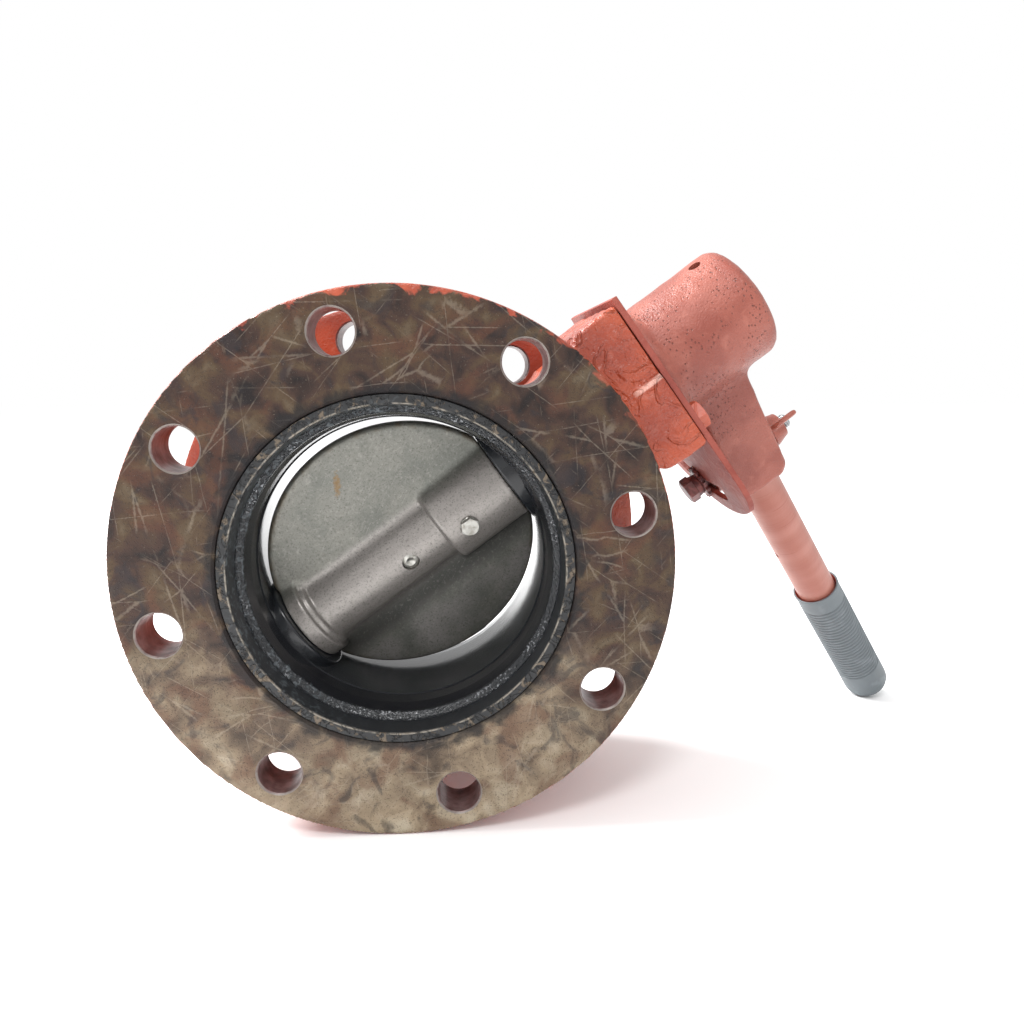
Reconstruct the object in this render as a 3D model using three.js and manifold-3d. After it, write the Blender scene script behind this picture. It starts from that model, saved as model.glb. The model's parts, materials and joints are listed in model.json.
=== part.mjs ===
// Lever-operated butterfly valve, 6 inch nominal, double flanged, lying on its flange rims.
// Millimetres, +Z up. The pipe axis runs along Y. The stem leans up towards +X.
// Each piece is modelled in the valve's own axes: x along the stem, y along the pipe and
// z across both, with the origin at the middle of the bore. The last section turns the
// whole valve onto its flange rims and the end of its grip, with the origin at the bottom centre.
import * as THREE from "three";
import { mergeVertices } from "three/addons/utils/BufferGeometryUtils.js";
import Module from "manifold-3d";

const wasm = await Module();
wasm.setup();

// ---- Driving dimensions -------------------------------------------------------------

const GAP = 0.3; // clearance kept between neighbouring pieces
const ROUND_SEGMENTS = 48; // sides of the large round faces
const SHAFT_SEGMENTS = 28; // sides of the stem, the hub and the rod
const COLLAR_SEGMENTS = 24; // sides of collars and other middling rounds
const HOLE_SEGMENTS = 20; // sides of the bolt holes in the flanges
const SMALL_SEGMENTS = 16; // sides of bolts and small holes

const STEM_LEAN = THREE.MathUtils.degToRad(36.255); // stem above the horizontal
const OPEN_ANGLE = THREE.MathUtils.degToRad(18.7); // disc and lever, from closed

// Flanges and barrel.
const FACE_TO_FACE = 127;
const FLANGE_R = 139.7;
const FLANGE_T = 25.4;
const BOLT_CIRCLE_R = 120.65;
const BOLT_HOLE_R = 11.1;
const BOLT_HOLES = 8;
const BARREL_R = 99;
const LINER_SEAT_R = 88.7;

// Neck, mounting pad and bottom boss.
const NECK_HALF_Y = 34;
const NECK_HALF_Z = 35;
const NECK_START = 92;
const NECK_ROUND = 10; // its corners, and how far it stops below the pad's face
const PAD_BOTTOM = 136;
const PAD_TOP = 164.4;
const PAD_HALF_Y = 49.8;
const PAD_HALF_Z = 42;
const PAD_ROUND = 8; // of its two lower edges
const STEM_BORE_R = 15.7;
const BOTTOM_BOSS_R = 27;
const BOTTOM_BOSS_END = 131;
const PLUG_R = 17;
const PLUG_DEPTH = 17;
const PLUG_SQUARE = 11; // across the flats of its socket

// Rubber seat.
const SEAT_OUTER_R = LINER_SEAT_R - GAP;
const SEAT_MOUTH_R = 83.3;
const SEAT_LEDGE_R = 82.2;
const SEAT_BEAD_R = 79.3;
const SEAT_BORE_R = 75.8;
const SEAT_LEDGE_Y = 12.9; // depth of each step from the flange face
const SEAT_BEAD_Y = 18.3;
const SEAT_BORE_Y = 34.6;
const SEAT_HUB_FACE = 69.3; // flat pads round the stem, from the pipe axis
const SEAT_HUB_R = 30;

// Stem and its bearings.
const STEM_R = 11.1;
const STEM_RUN = 0.4; // clearance round the stem
const STEM_BOTTOM = -110;
const STEM_TOP = 222;
const THRUST_WASHER_T = 3.2;
const PACKING_START = 112;
const PACKING_END = 136;
const KEY_SIZE = 6;
const KEY_START = 176;
const KEY_LENGTH = 36;

// Disc.
const DISC_R = 75.35;
const DISC_FLAT = SEAT_HUB_FACE - GAP;
const DISC_T = 11;
const DISC_BOSS_R = 19;
const DISC_BIG_BOSS_R = 24.5;
const DISC_BIG_BOSS_START = 24.5;
const DISC_COLLAR_R = 25;
const DISC_COLLAR_START = -57;
const PIN_R = 4.6;
const PIN_HEAD_R = 5.2;
const UPPER_PIN_X = 39;
const LOWER_PIN_X = 0.4;

// Locking plate on the pad, a quadrant round the stem.
const PLATE_T = 3.2;
const PLATE_LIFT = GAP;
const PLATE_TOP = PAD_TOP + PLATE_LIFT + PLATE_T;
const PLATE_R = 98;
const PLATE_EDGE_Z = 45;
const PLATE_EDGE_Y = -49.8;
const PLATE_CORNER_R = 25;
const SLOT_R = 84;
const SLOT_HALF_WIDTH = 5.1;
const SLOT_END_ANGLE = THREE.MathUtils.degToRad(92);
const SLOT_START_ANGLE = THREE.MathUtils.degToRad(-2);

// Pad bolts.
const PAD_BOLT_R = 4.8;
const PAD_BOLT_HEX_R = 8.25;
const PAD_BOLT_HEAD = 6.35;
const PAD_BOLT_LENGTH = 20;
const PAD_BOLT_Y = 35;
const PAD_BOLT_Z = -31;

// Lever casting: hub round the stem, boss that holds the rod.
const HUB_R = 33;
const HUB_FOOT_R = 36;
const HUB_BOTTOM = PLATE_TOP + GAP;
const HUB_TOP = 236;
const HUB_ROUND = 7;
const ARM_BOTTOM = 177;
const ARM_TOP = 213.8; // at the hub
const ARM_TOP_AT_END = 210.8;
const ARM_END = 104.2;
const ARM_HALF_WIDTH = 17.5;
const ARM_ROUND = 8;
const ARM_BEVEL = 4;
const CLAMP_FOOT_R = 12;
const NUT_SEAT_R = 11;
const NUT_SEAT_TOP = 212.8;
const SET_SCREW_X = 220;
const SET_SCREW_R = 3.5;

// Lever rod and grip.
const ROD_X = 194.6;
const ROD_R = 12.7;
const ROD_START = 46;
const ROD_HOLE_R = 2;
const ROD_HOLE_AT = 168;
const GRIP_START = 211;
const GRIP_R = 15.3;
const GRIP_ROUND = 11;
const GRIP_END_WALL = 8.6; // solid rubber past the end of the rod
// The grip's end just reaches the surface that the flange rims lie on.
const LEVER_DROP = Math.cos(OPEN_ANGLE) * Math.cos(STEM_LEAN);
const GRIP_END =
  GRIP_ROUND +
  (ROD_X * Math.sin(STEM_LEAN) +
    FLANGE_R -
    GRIP_ROUND -
    (GRIP_R - GRIP_ROUND) * Math.sqrt(1 - LEVER_DROP ** 2)) /
    LEVER_DROP;
const ROD_END = GRIP_END - GRIP_END_WALL - GAP;

// Lock bolt, through the slot and the arm.
const LOCK_BOLT_R = 4.6;
const LOCK_HEX_R = 8.25;
const LOCK_HEAD_BOTTOM = 152.2;
const LOCK_HEAD_T = 5.8;
const LOCK_BOLT_END = 227.8;
const WASHER_R = 10.8;
const WASHER_T = 2.2;
const WASHER_TEETH = 14;
const LOCK_SPACER_R = 6.6;
const WING_HUB_R = 10.2;
const WING_HUB_TOP_R = 7.9;
const WING_HUB_H = 10;
const WING_SPAN = 18.5;
const WING_T = 3.2;
const WING_TOP = 17.6;
const WING_TURN = THREE.MathUtils.degToRad(-38);

// ---- Materials ----------------------------------------------------------------------

const finish = {
  paint: { color: 0xb4533c, roughness: 0.42, metalness: 0.0 },
  rubber: { color: 0x16171a, roughness: 0.25, metalness: 0.0 },
  grip: { color: 0x4d5256, roughness: 0.6, metalness: 0.0 },
  disc: { color: 0x9b988c, roughness: 0.42, metalness: 0.85 },
  steel: { color: 0x8d8f92, roughness: 0.35, metalness: 1.0 },
  bronze: { color: 0xa9814a, roughness: 0.4, metalness: 1.0 },
  packing: { color: 0x2a2a2c, roughness: 0.5, metalness: 0.0 },
};

// ---- Helpers ------------------------------------------------------------------------

// A closed mesh as a manifold-3d solid, with its shared corners merged.
function solid(geometry) {
  const bare = geometry.clone();
  bare.deleteAttribute("normal");
  bare.deleteAttribute("uv");
  const merged = mergeVertices(bare, 1e-4);
  return new wasm.Manifold(
    new wasm.Mesh({
      numProp: 3,
      vertProperties: new Float32Array(merged.attributes.position.array),
      triVerts: new Uint32Array(merged.index.array),
    }),
  );
}

// A manifold-3d solid as a three.js geometry.
function geometryOf(shape) {
  const { vertProperties, triVerts } = shape.getMesh();
  const geometry = new THREE.BufferGeometry();
  geometry.setAttribute("position", new THREE.BufferAttribute(vertProperties, 3));
  geometry.setIndex(new THREE.BufferAttribute(triVerts, 1));
  geometry.computeVertexNormals();
  return geometry;
}

const join = (...geometries) =>
  geometryOf(geometries.map(solid).reduce((sum, next) => sum.add(next)));

const cut = (geometry, ...cutters) =>
  geometryOf(cutters.map(solid).reduce((rest, next) => rest.subtract(next), solid(geometry)));

// A solid of revolution about the x axis, from [x, radius] points.
function turned(points, segments = SHAFT_SEGMENTS) {
  const profile = points.map(([x, r]) => new THREE.Vector2(r, x));
  return new THREE.LatheGeometry(profile, segments).rotateZ(-Math.PI / 2);
}

// The same about the y axis, for what lies along the pipe.
function turnedAlongPipe(points, segments = ROUND_SEGMENTS) {
  return new THREE.LatheGeometry(points.map(([y, r]) => new THREE.Vector2(r, y)), segments);
}

// A plain rod along x, and a ring along x.
const rodX = (x0, x1, r, segments = SHAFT_SEGMENTS) =>
  turned([[x0, 0], [x0, r], [x1, r], [x1, 0]], segments);

const ringX = (x0, x1, inner, outer, segments = SHAFT_SEGMENTS) =>
  turned([[x0, inner], [x0, outer], [x1, outer], [x1, inner], [x0, inner]], segments);

// A plain rod along y or z, centred on (x, z) or (x, y).
const rodY = (y0, y1, x, z, r, segments = SMALL_SEGMENTS) =>
  turnedAlongPipe([[y0, 0], [y0, r], [y1, r], [y1, 0]], segments).translate(x, 0, z);

const rodZ = (z0, z1, x, y, r, segments = SMALL_SEGMENTS) =>
  turnedAlongPipe([[z0, 0], [z0, r], [z1, r], [z1, 0]], segments)
    .rotateX(Math.PI / 2)
    .translate(x, y, 0);

// A flat outline drawn in (y, z), extruded along x from x0 by a length.
function extrudedAlongStem(shape, x0, length, curveSegments = 12) {
  return new THREE.ExtrudeGeometry(shape, { depth: length, bevelEnabled: false, curveSegments })
    .applyMatrix4(new THREE.Matrix4().set(0, 0, 1, 0, 1, 0, 0, 0, 0, 1, 0, 0, 0, 0, 0, 1))
    .translate(x0, 0, 0);
}

// An outline drawn in (x, z), extruded along the pipe and centred on it. A bevel rounds its rim.
function extrudedAlongPipe(shape, halfLength, bevel = 0) {
  return new THREE.ExtrudeGeometry(shape, {
    depth: 2 * (halfLength - bevel),
    bevelEnabled: bevel > 0,
    bevelThickness: bevel,
    bevelSize: bevel,
    bevelOffset: -bevel,
    bevelSegments: 4,
    curveSegments: 6,
  })
    .rotateX(Math.PI / 2)
    .translate(0, halfLength - bevel, 0);
}

// A rectangle with rounded corners, drawn about the origin.
function roundedRectangle(halfWidth, halfHeight, r) {
  const shape = new THREE.Shape();
  shape.absarc(halfWidth - r, halfHeight - r, r, 0, Math.PI / 2);
  shape.absarc(-halfWidth + r, halfHeight - r, r, Math.PI / 2, Math.PI);
  shape.absarc(-halfWidth + r, -halfHeight + r, r, Math.PI, 1.5 * Math.PI);
  shape.absarc(halfWidth - r, -halfHeight + r, r, 1.5 * Math.PI, 2 * Math.PI);
  return shape;
}

// A hexagonal prism along x.
const hexX = (x0, x1, r) => turned([[x0, 0], [x0, r], [x1, r], [x1, 0]], 6);

// Points of a quarter round, from one angle to another, in (x, radius).
function round(cx, cr, r, from, to, steps = 5) {
  return Array.from({ length: steps + 1 }, (_, i) => {
    const a = THREE.MathUtils.degToRad(from + ((to - from) * i) / steps);
    return [cx + r * Math.cos(a), cr + r * Math.sin(a)];
  });
}

const valve = new THREE.Group();
const turning = new THREE.Group();

function piece(name, look, geometry, parent = valve) {
  const mesh = new THREE.Mesh(geometry, new THREE.MeshStandardMaterial(finish[look]));
  mesh.name = name;
  parent.add(mesh);
  return mesh;
}

// ---- Body casting -------------------------------------------------------------------

const HALF = FACE_TO_FACE / 2;

// Barrel and both flanges as one ring, with a small fillet where they meet.
function flangedBarrel() {
  const back = HALF - FLANGE_T;
  const fillet = 6;
  const edge = 1.2;
  const half = [
    [back - fillet, BARREL_R],
    [back - fillet * 0.3, BARREL_R + fillet * 0.3],
    [back, BARREL_R + fillet],
    [back, FLANGE_R - edge],
    [back + edge, FLANGE_R],
    [HALF - edge, FLANGE_R],
    [HALF, FLANGE_R - edge],
    [HALF, LINER_SEAT_R],
  ];
  const mirrored = half.map(([y, r]) => [-y, r]).reverse();
  return turnedAlongPipe([...mirrored, ...half, mirrored[0]], ROUND_SEGMENTS);
}

function boltHoles() {
  const holes = [];
  for (let i = 0; i < BOLT_HOLES; i += 1) {
    const a = ((i + 0.5) * 2 * Math.PI) / BOLT_HOLES;
    const x = BOLT_CIRCLE_R * Math.cos(a);
    const z = BOLT_CIRCLE_R * Math.sin(a);
    holes.push(rodY(-HALF - 1, HALF + 1, x, z, BOLT_HOLE_R, HOLE_SEGMENTS));
  }
  return holes;
}

const padBoltPlaces = [
  { name: "pad_bolt_front", y: -PAD_BOLT_Y, z: PAD_BOLT_Z },
  { name: "pad_bolt_rear", y: PAD_BOLT_Y, z: -PAD_BOLT_Z },
];

// The mounting pad, seen along the pipe: square at the plate, rounded at its lower edges.
function mountingPad() {
  const side = new THREE.Shape();
  const reach = PAD_HALF_Z - PAD_ROUND;
  side.moveTo(PAD_TOP, -PAD_HALF_Z);
  side.lineTo(PAD_TOP, PAD_HALF_Z);
  side.lineTo(PAD_BOTTOM + PAD_ROUND, PAD_HALF_Z);
  side.absarc(PAD_BOTTOM + PAD_ROUND, reach, PAD_ROUND, Math.PI / 2, Math.PI);
  side.absarc(PAD_BOTTOM + PAD_ROUND, -reach, PAD_ROUND, Math.PI, 1.5 * Math.PI);
  side.closePath();
  return extrudedAlongPipe(side, PAD_HALF_Y);
}

function bodyCasting() {
  const neck = extrudedAlongStem(
    roundedRectangle(NECK_HALF_Y, NECK_HALF_Z, NECK_ROUND),
    NECK_START,
    PAD_TOP - NECK_START - NECK_ROUND,
    5,
  );
  const bottomBoss = rodX(-BOTTOM_BOSS_END, -NECK_START, BOTTOM_BOSS_R);
  const screwHole = rodX(
    PAD_TOP - PAD_BOLT_LENGTH,
    PAD_TOP + 1,
    PAD_BOLT_R + GAP,
    SMALL_SEGMENTS,
  );
  const screwHoles = padBoltPlaces.map(({ y, z }) => screwHole.clone().translate(0, y, z));
  return cut(
    join(flangedBarrel(), neck, mountingPad(), bottomBoss),
    rodY(-HALF - 1, HALF + 1, 0, 0, LINER_SEAT_R, ROUND_SEGMENTS),
    rodX(0, PAD_TOP + 1, STEM_BORE_R),
    rodX(-112, 0, STEM_BORE_R),
    rodX(-BOTTOM_BOSS_END - 1, -BOTTOM_BOSS_END + PLUG_DEPTH + 3, PLUG_R + GAP),
    ...boltHoles(),
    ...screwHoles,
  );
}

piece("body_casting", "paint", bodyCasting());

// ---- Rubber seat --------------------------------------------------------------------

function seatLiner() {
  const tipped = [
    [HALF - SEAT_BORE_Y, SEAT_BORE_R],
    [HALF - SEAT_BORE_Y + 5.5, SEAT_BORE_R + 0.3],
    [HALF - SEAT_BORE_Y + 11, SEAT_BORE_R + 1.2],
    [HALF - SEAT_BEAD_Y, SEAT_BEAD_R],
    [HALF - SEAT_BEAD_Y + 1.6, SEAT_BEAD_R + 0.6],
    [HALF - SEAT_LEDGE_Y, SEAT_LEDGE_R],
    [HALF, SEAT_MOUTH_R],
    [HALF, SEAT_OUTER_R],
  ];
  const mirrored = tipped.map(([y, r]) => [-y, r]).reverse();
  const ring = turnedAlongPipe([mirrored[0], ...tipped.reverse(), ...mirrored.reverse()]);
  // Flat pads round the stem bore, clipped to the ring's own thickness.
  const shell = turnedAlongPipe(
    [[-HALF, 0], [-HALF, SEAT_OUTER_R - 2], [HALF, SEAT_OUTER_R - 2], [HALF, 0]],
    ROUND_SEGMENTS,
  );
  const pads = [1, -1].map((side) => {
    const disk = turned([[0, 0], [0, SEAT_HUB_R - 1], [1, SEAT_HUB_R], [16, SEAT_HUB_R], [16, 0]]);
    if (side < 0) {
      disk.rotateY(Math.PI);
    }
    return solid(disk.translate(side * SEAT_HUB_FACE, 0, 0)).intersect(solid(shell));
  });
  const whole = solid(ring).add(pads[0]).add(pads[1]);
  const bore = solid(rodX(-95, 95, STEM_R + STEM_RUN));
  return geometryOf(whole.subtract(bore));
}

piece("seat_liner", "rubber", seatLiner());

// ---- Stem bearings, packing and bottom plug -----------------------------------------

const BUSH_OUTER_R = STEM_BORE_R - GAP;
const BUSH_INNER_R = STEM_R + STEM_RUN;
const SEAT_BACK = SEAT_OUTER_R + GAP + 0.6;

const bushing = (start, end) => ringX(start, end, BUSH_INNER_R, BUSH_OUTER_R);

piece("lower_stem_bushing", "bronze", bushing(STEM_BOTTOM, -SEAT_BACK));
piece("inner_stem_bushing", "bronze", bushing(SEAT_BACK, PACKING_START));
piece("upper_stem_bushing", "bronze", bushing(PACKING_END, PAD_TOP - GAP));

// A rubber packing with a lip groove in each end, between the two upper bushings.
function stemPacking() {
  const start = PACKING_START + GAP;
  const end = PACKING_END - GAP;
  const middle = (BUSH_INNER_R + BUSH_OUTER_R) / 2;
  return turned(
    [
      [start, BUSH_INNER_R],
      [start + 3, middle],
      [start, BUSH_OUTER_R],
      [end, BUSH_OUTER_R],
      [end - 3, middle],
      [end, BUSH_INNER_R],
      [start, BUSH_INNER_R],
    ],
    SHAFT_SEGMENTS,
  );
}

piece("stem_packing", "packing", stemPacking());

function bottomPlug() {
  const inside = -BOTTOM_BOSS_END + PLUG_DEPTH;
  const head = -BOTTOM_BOSS_END - GAP;
  const plug = turned(
    [
      [head - 2, 0],
      [head - 2, PLUG_R - 1],
      [head - 1, PLUG_R],
      [inside - 1, PLUG_R],
      [inside, PLUG_R - 1],
      [inside, 0],
    ],
    SHAFT_SEGMENTS,
  );
  const square = new THREE.BoxGeometry(8, PLUG_SQUARE, PLUG_SQUARE).translate(head + 2, 0, 0);
  return cut(plug, square);
}

piece("bottom_plug", "paint", bottomPlug());
piece(
  "thrust_washer",
  "bronze",
  ringX(STEM_BOTTOM - STEM_RUN - THRUST_WASHER_T, STEM_BOTTOM - STEM_RUN, 4, BUSH_OUTER_R),
);

// ---- Locking plate and its two bolts ------------------------------------------------

const polar = (r, a) => [r * Math.sin(a), -r * Math.cos(a)];

// The quadrant in (y, z): straight along the pad, then an arc round the stem.
function plateOutline() {
  const shape = new THREE.Shape();
  const startAngle = Math.asin((PLATE_EDGE_Y + PLATE_CORNER_R) / (PLATE_R - PLATE_CORNER_R));
  const [cornerY, cornerZ] = polar(PLATE_R - PLATE_CORNER_R, startAngle);
  shape.moveTo(PLATE_EDGE_Y, PLATE_EDGE_Z);
  shape.lineTo(PLATE_EDGE_Y, cornerZ);
  shape.absarc(cornerY, cornerZ, PLATE_CORNER_R, Math.PI, startAngle + 1.5 * Math.PI, false);
  const endAngle = Math.acos(-PLATE_EDGE_Z / PLATE_R);
  shape.absarc(0, 0, PLATE_R, startAngle - Math.PI / 2, endAngle - Math.PI / 2, false);
  shape.closePath();
  shape.holes.push(slotOutline());
  shape.holes.push(circleHole(0, 0, STEM_R + 1.4));
  padBoltPlaces.forEach(({ y, z }) => shape.holes.push(circleHole(y, z, PAD_BOLT_R + 0.6)));
  return shape;
}

function circleHole(y, z, r) {
  const hole = new THREE.Path();
  hole.absarc(y, z, r, 0, 2 * Math.PI, true);
  return hole;
}

// The curved slot round the stem, from just before closed to just past open.
function slotOutline() {
  const slot = new THREE.Path();
  const from = SLOT_START_ANGLE - Math.PI / 2;
  const to = SLOT_END_ANGLE - Math.PI / 2;
  const [endY, endZ] = polar(SLOT_R, SLOT_END_ANGLE);
  const [startY, startZ] = polar(SLOT_R, SLOT_START_ANGLE);
  slot.absarc(0, 0, SLOT_R + SLOT_HALF_WIDTH, from, to, false);
  slot.absarc(endY, endZ, SLOT_HALF_WIDTH, to, to + Math.PI, false);
  slot.absarc(0, 0, SLOT_R - SLOT_HALF_WIDTH, to, from, true);
  slot.absarc(startY, startZ, SLOT_HALF_WIDTH, from + Math.PI, from + 2 * Math.PI, false);
  return slot;
}

const lockingPlate = extrudedAlongStem(plateOutline(), PAD_TOP + PLATE_LIFT, PLATE_T, 16);
piece("locking_plate", "paint", lockingPlate);

function hexBolt(headStart, headEnd, hexR, shankR, shankEnd) {
  return join(hexX(headStart, headEnd, hexR), rodX(headEnd - 1, shankEnd, shankR, SMALL_SEGMENTS));
}

padBoltPlaces.forEach(({ name, y, z }) => {
  const length = PAD_BOLT_LENGTH + PLATE_T - 1;
  const bolt = hexBolt(0, PAD_BOLT_HEAD, PAD_BOLT_HEX_R, PAD_BOLT_R, PAD_BOLT_HEAD + length);
  bolt.rotateZ(Math.PI).translate(PLATE_TOP + GAP + PAD_BOLT_HEAD, y, z);
  piece(name, "paint", bolt);
});

// ---- Stem and disc ------------------------------------------------------------------

function stem() {
  const chamfer = 1.5;
  const shaft = turned(
    [
      [STEM_BOTTOM, 0],
      [STEM_BOTTOM, STEM_R - chamfer],
      [STEM_BOTTOM + chamfer, STEM_R],
      [STEM_TOP - chamfer, STEM_R],
      [STEM_TOP, STEM_R - chamfer],
      [STEM_TOP, 0],
    ],
    SHAFT_SEGMENTS,
  );
  const keyway = new THREE.BoxGeometry(KEY_LENGTH + 20, KEY_SIZE + GAP * 2, 4).translate(
    KEY_START + KEY_LENGTH / 2 + 9,
    0,
    STEM_R - 1,
  );
  const pinHoles = [UPPER_PIN_X, LOWER_PIN_X].map((x) => rodY(-30, 30, x, 0, PIN_R + GAP));
  return cut(shaft, keyway, ...pinHoles);
}

piece("stem", "steel", stem(), turning);

piece(
  "stem_key",
  "steel",
  new THREE.BoxGeometry(KEY_LENGTH, KEY_SIZE, 5).translate(
    KEY_START + KEY_LENGTH / 2,
    0,
    STEM_R - 3 + GAP + 2.5,
  ),
  turning,
);

// The disc's plate, a lens with a rounded rim, turned about the y axis.
function discPlate() {
  const rim = 3.2;
  const crown = DISC_T / 2;
  const half = [
    [0, DISC_R],
    [rim * 0.6, DISC_R - 0.35],
    [rim, DISC_R - 1.4],
    [crown * 0.92, 56],
    [crown, 30],
    [crown, 0],
  ];
  const mirrored = half.slice(1).map(([y, r]) => [-y, r]).reverse();
  return turnedAlongPipe([...mirrored, ...half], ROUND_SEGMENTS);
}

// Boss along the stem, with a collar at the bottom and a thicker top.
function discBoss() {
  return turned(
    [
      [-DISC_FLAT - 4, 0],
      [-DISC_FLAT - 4, DISC_COLLAR_R],
      [DISC_COLLAR_START - 4, DISC_COLLAR_R],
      [DISC_COLLAR_START - 1, DISC_BOSS_R + 2.4],
      [DISC_COLLAR_START + 1.5, DISC_BOSS_R + 0.4],
      [DISC_COLLAR_START + 5, DISC_BOSS_R - 0.8],
      [DISC_BIG_BOSS_START - 3, DISC_BOSS_R],
      [DISC_BIG_BOSS_START - 0.5, DISC_BOSS_R + 1.2],
      [DISC_BIG_BOSS_START + 1, DISC_BIG_BOSS_R - 1],
      [DISC_BIG_BOSS_START + 3, DISC_BIG_BOSS_R],
      [DISC_FLAT + 4, DISC_BIG_BOSS_R + 0.6],
      [DISC_FLAT + 4, 0],
    ],
    SHAFT_SEGMENTS,
  );
}

function disc() {
  const ball = turnedAlongPipe(
    round(0, 0, DISC_R, -90, 90, 24).map(([r, y]) => [y, Math.max(r, 0)]),
  );
  const boss = solid(discBoss()).intersect(solid(ball));
  const whole = solid(discPlate()).add(boss);
  const block = 200;
  const upperTrim = solid(
    new THREE.BoxGeometry(block, block, block).translate(DISC_FLAT + block / 2, 0, 0),
  );
  const lowerTrim = solid(
    new THREE.BoxGeometry(block, block, block).translate(-DISC_FLAT - block / 2, 0, 0),
  );
  const bore = solid(rodX(-100, 100, STEM_R + GAP));
  const upperHole = solid(rodY(-40, 40, UPPER_PIN_X, 0, PIN_R + GAP));
  const lowerHole = solid(rodY(-40, 40, LOWER_PIN_X, 0, PIN_R + GAP));
  return geometryOf(
    whole
      .subtract(upperTrim)
      .subtract(lowerTrim)
      .subtract(bore)
      .subtract(upperHole)
      .subtract(lowerHole),
  );
}

piece("disc", "disc", disc(), turning);

// The upper pin stands proud with a six-sided head; the lower one sits below the boss.
function upperPin() {
  const front = -DISC_BIG_BOSS_R - GAP;
  const top = front - 2.6;
  const head = turnedAlongPipe([[top, 0], [top, PIN_HEAD_R], [front, PIN_HEAD_R], [front, 0]], 6);
  const shank = turnedAlongPipe(
    [[front - 1, 0], [front - 1, PIN_R], [23, PIN_R], [23, 0]],
    SMALL_SEGMENTS,
  );
  return join(head, shank).translate(UPPER_PIN_X, 0, 0);
}

function lowerPin() {
  const front = -DISC_BOSS_R + 1.2;
  const body = turnedAlongPipe(
    [[front, 0], [front, PIN_R - 0.6], [front + 0.6, PIN_R], [17.5, PIN_R], [17.5, 0]],
    SMALL_SEGMENTS,
  );
  return body.translate(LOWER_PIN_X, 0, 0);
}

piece("disc_pin_upper", "steel", upperPin(), turning);
piece("disc_pin_lower", "steel", lowerPin(), turning);

// ---- Lever casting ------------------------------------------------------------------

function leverHub() {
  return turned(
    [
      [HUB_BOTTOM, 0],
      [HUB_BOTTOM, HUB_FOOT_R],
      [HUB_BOTTOM + 3, HUB_FOOT_R - 0.6],
      [HUB_BOTTOM + 9, HUB_R],
      [HUB_TOP - HUB_ROUND, HUB_R],
      ...round(HUB_TOP - HUB_ROUND, HUB_R - HUB_ROUND, HUB_ROUND, 75, 0, 5),
      [HUB_TOP, 0],
    ],
    SHAFT_SEGMENTS,
  );
}

// The arm that holds the rod, reaching towards -z and tapering a little to its end.
function leverArm() {
  const side = new THREE.Shape();
  const endZ = -ARM_END + ARM_ROUND;
  side.moveTo(ARM_TOP, 0);
  side.lineTo(ARM_TOP, -HUB_R);
  side.lineTo(ARM_TOP_AT_END, endZ);
  side.absarc(ARM_TOP_AT_END - ARM_ROUND, endZ, ARM_ROUND, 0, -Math.PI / 2, true);
  side.lineTo(ARM_BOTTOM + ARM_ROUND, -ARM_END);
  side.absarc(ARM_BOTTOM + ARM_ROUND, endZ, ARM_ROUND, -Math.PI / 2, -Math.PI, true);
  side.lineTo(ARM_BOTTOM, 0);
  side.closePath();
  return extrudedAlongPipe(side, ARM_HALF_WIDTH, ARM_BEVEL);
}

// Hub, arm, the foot that bears on the plate round the lock bolt and the nut's flat seat.
function leverCasting() {
  const foot = rodX(HUB_BOTTOM, ARM_BOTTOM + 3, CLAMP_FOOT_R, COLLAR_SEGMENTS);
  const nutSeat = rodX(ARM_TOP_AT_END - 4, NUT_SEAT_TOP, NUT_SEAT_R, COLLAR_SEGMENTS);
  const keyway = new THREE.BoxGeometry(KEY_LENGTH + 24, KEY_SIZE + GAP * 2, 6).translate(
    KEY_START + KEY_LENGTH / 2 - 10,
    0,
    STEM_R + 1.5,
  );
  return cut(
    join(leverHub(), leverArm(), foot.translate(0, 0, -SLOT_R), nutSeat.translate(0, 0, -SLOT_R)),
    rodX(HUB_BOTTOM - 1, STEM_TOP + 3, STEM_R + GAP),
    keyway,
    rodZ(-ARM_END - 1, -ROD_START + 1, ROD_X, 0, ROD_R + GAP, SHAFT_SEGMENTS),
    rodX(HUB_BOTTOM - 1, ARM_TOP + 3, LOCK_BOLT_R + GAP, SMALL_SEGMENTS).translate(0, 0, -SLOT_R),
    rodZ(0, HUB_R + 2, SET_SCREW_X, 0, SET_SCREW_R + GAP),
  );
}

piece("lever_casting", "paint", leverCasting(), turning);

function setScrew() {
  const tip = STEM_R + GAP;
  const end = HUB_R - 8;
  const body = turnedAlongPipe(
    [[tip, 0], [tip, SET_SCREW_R - 1], [tip + 1, SET_SCREW_R], [end, SET_SCREW_R], [end, 0]],
    SMALL_SEGMENTS,
  );
  const socket = turnedAlongPipe([[end - 3, 0], [end - 3, 1.9], [end + 1, 1.9], [end + 1, 0]], 6);
  return cut(body, socket).rotateX(Math.PI / 2).translate(SET_SCREW_X, 0, 0);
}

piece("hub_set_screw", "steel", setScrew(), turning);

// ---- Lever rod and grip -------------------------------------------------------------

// The rod reaches through the arm, where the lock bolt crosses it and holds it.
function leverRod() {
  const rod = rodZ(-ROD_END, -ROD_START, ROD_X, 0, ROD_R, SHAFT_SEGMENTS);
  const crossHole = (r, z) => rodX(ROD_X - 20, ROD_X + 20, r, SMALL_SEGMENTS).translate(0, 0, z);
  return cut(rod, crossHole(ROD_HOLE_R, -ROD_HOLE_AT), crossHole(LOCK_BOLT_R + GAP, -SLOT_R));
}

piece("lever_rod", "paint", leverRod(), turning);

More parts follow.
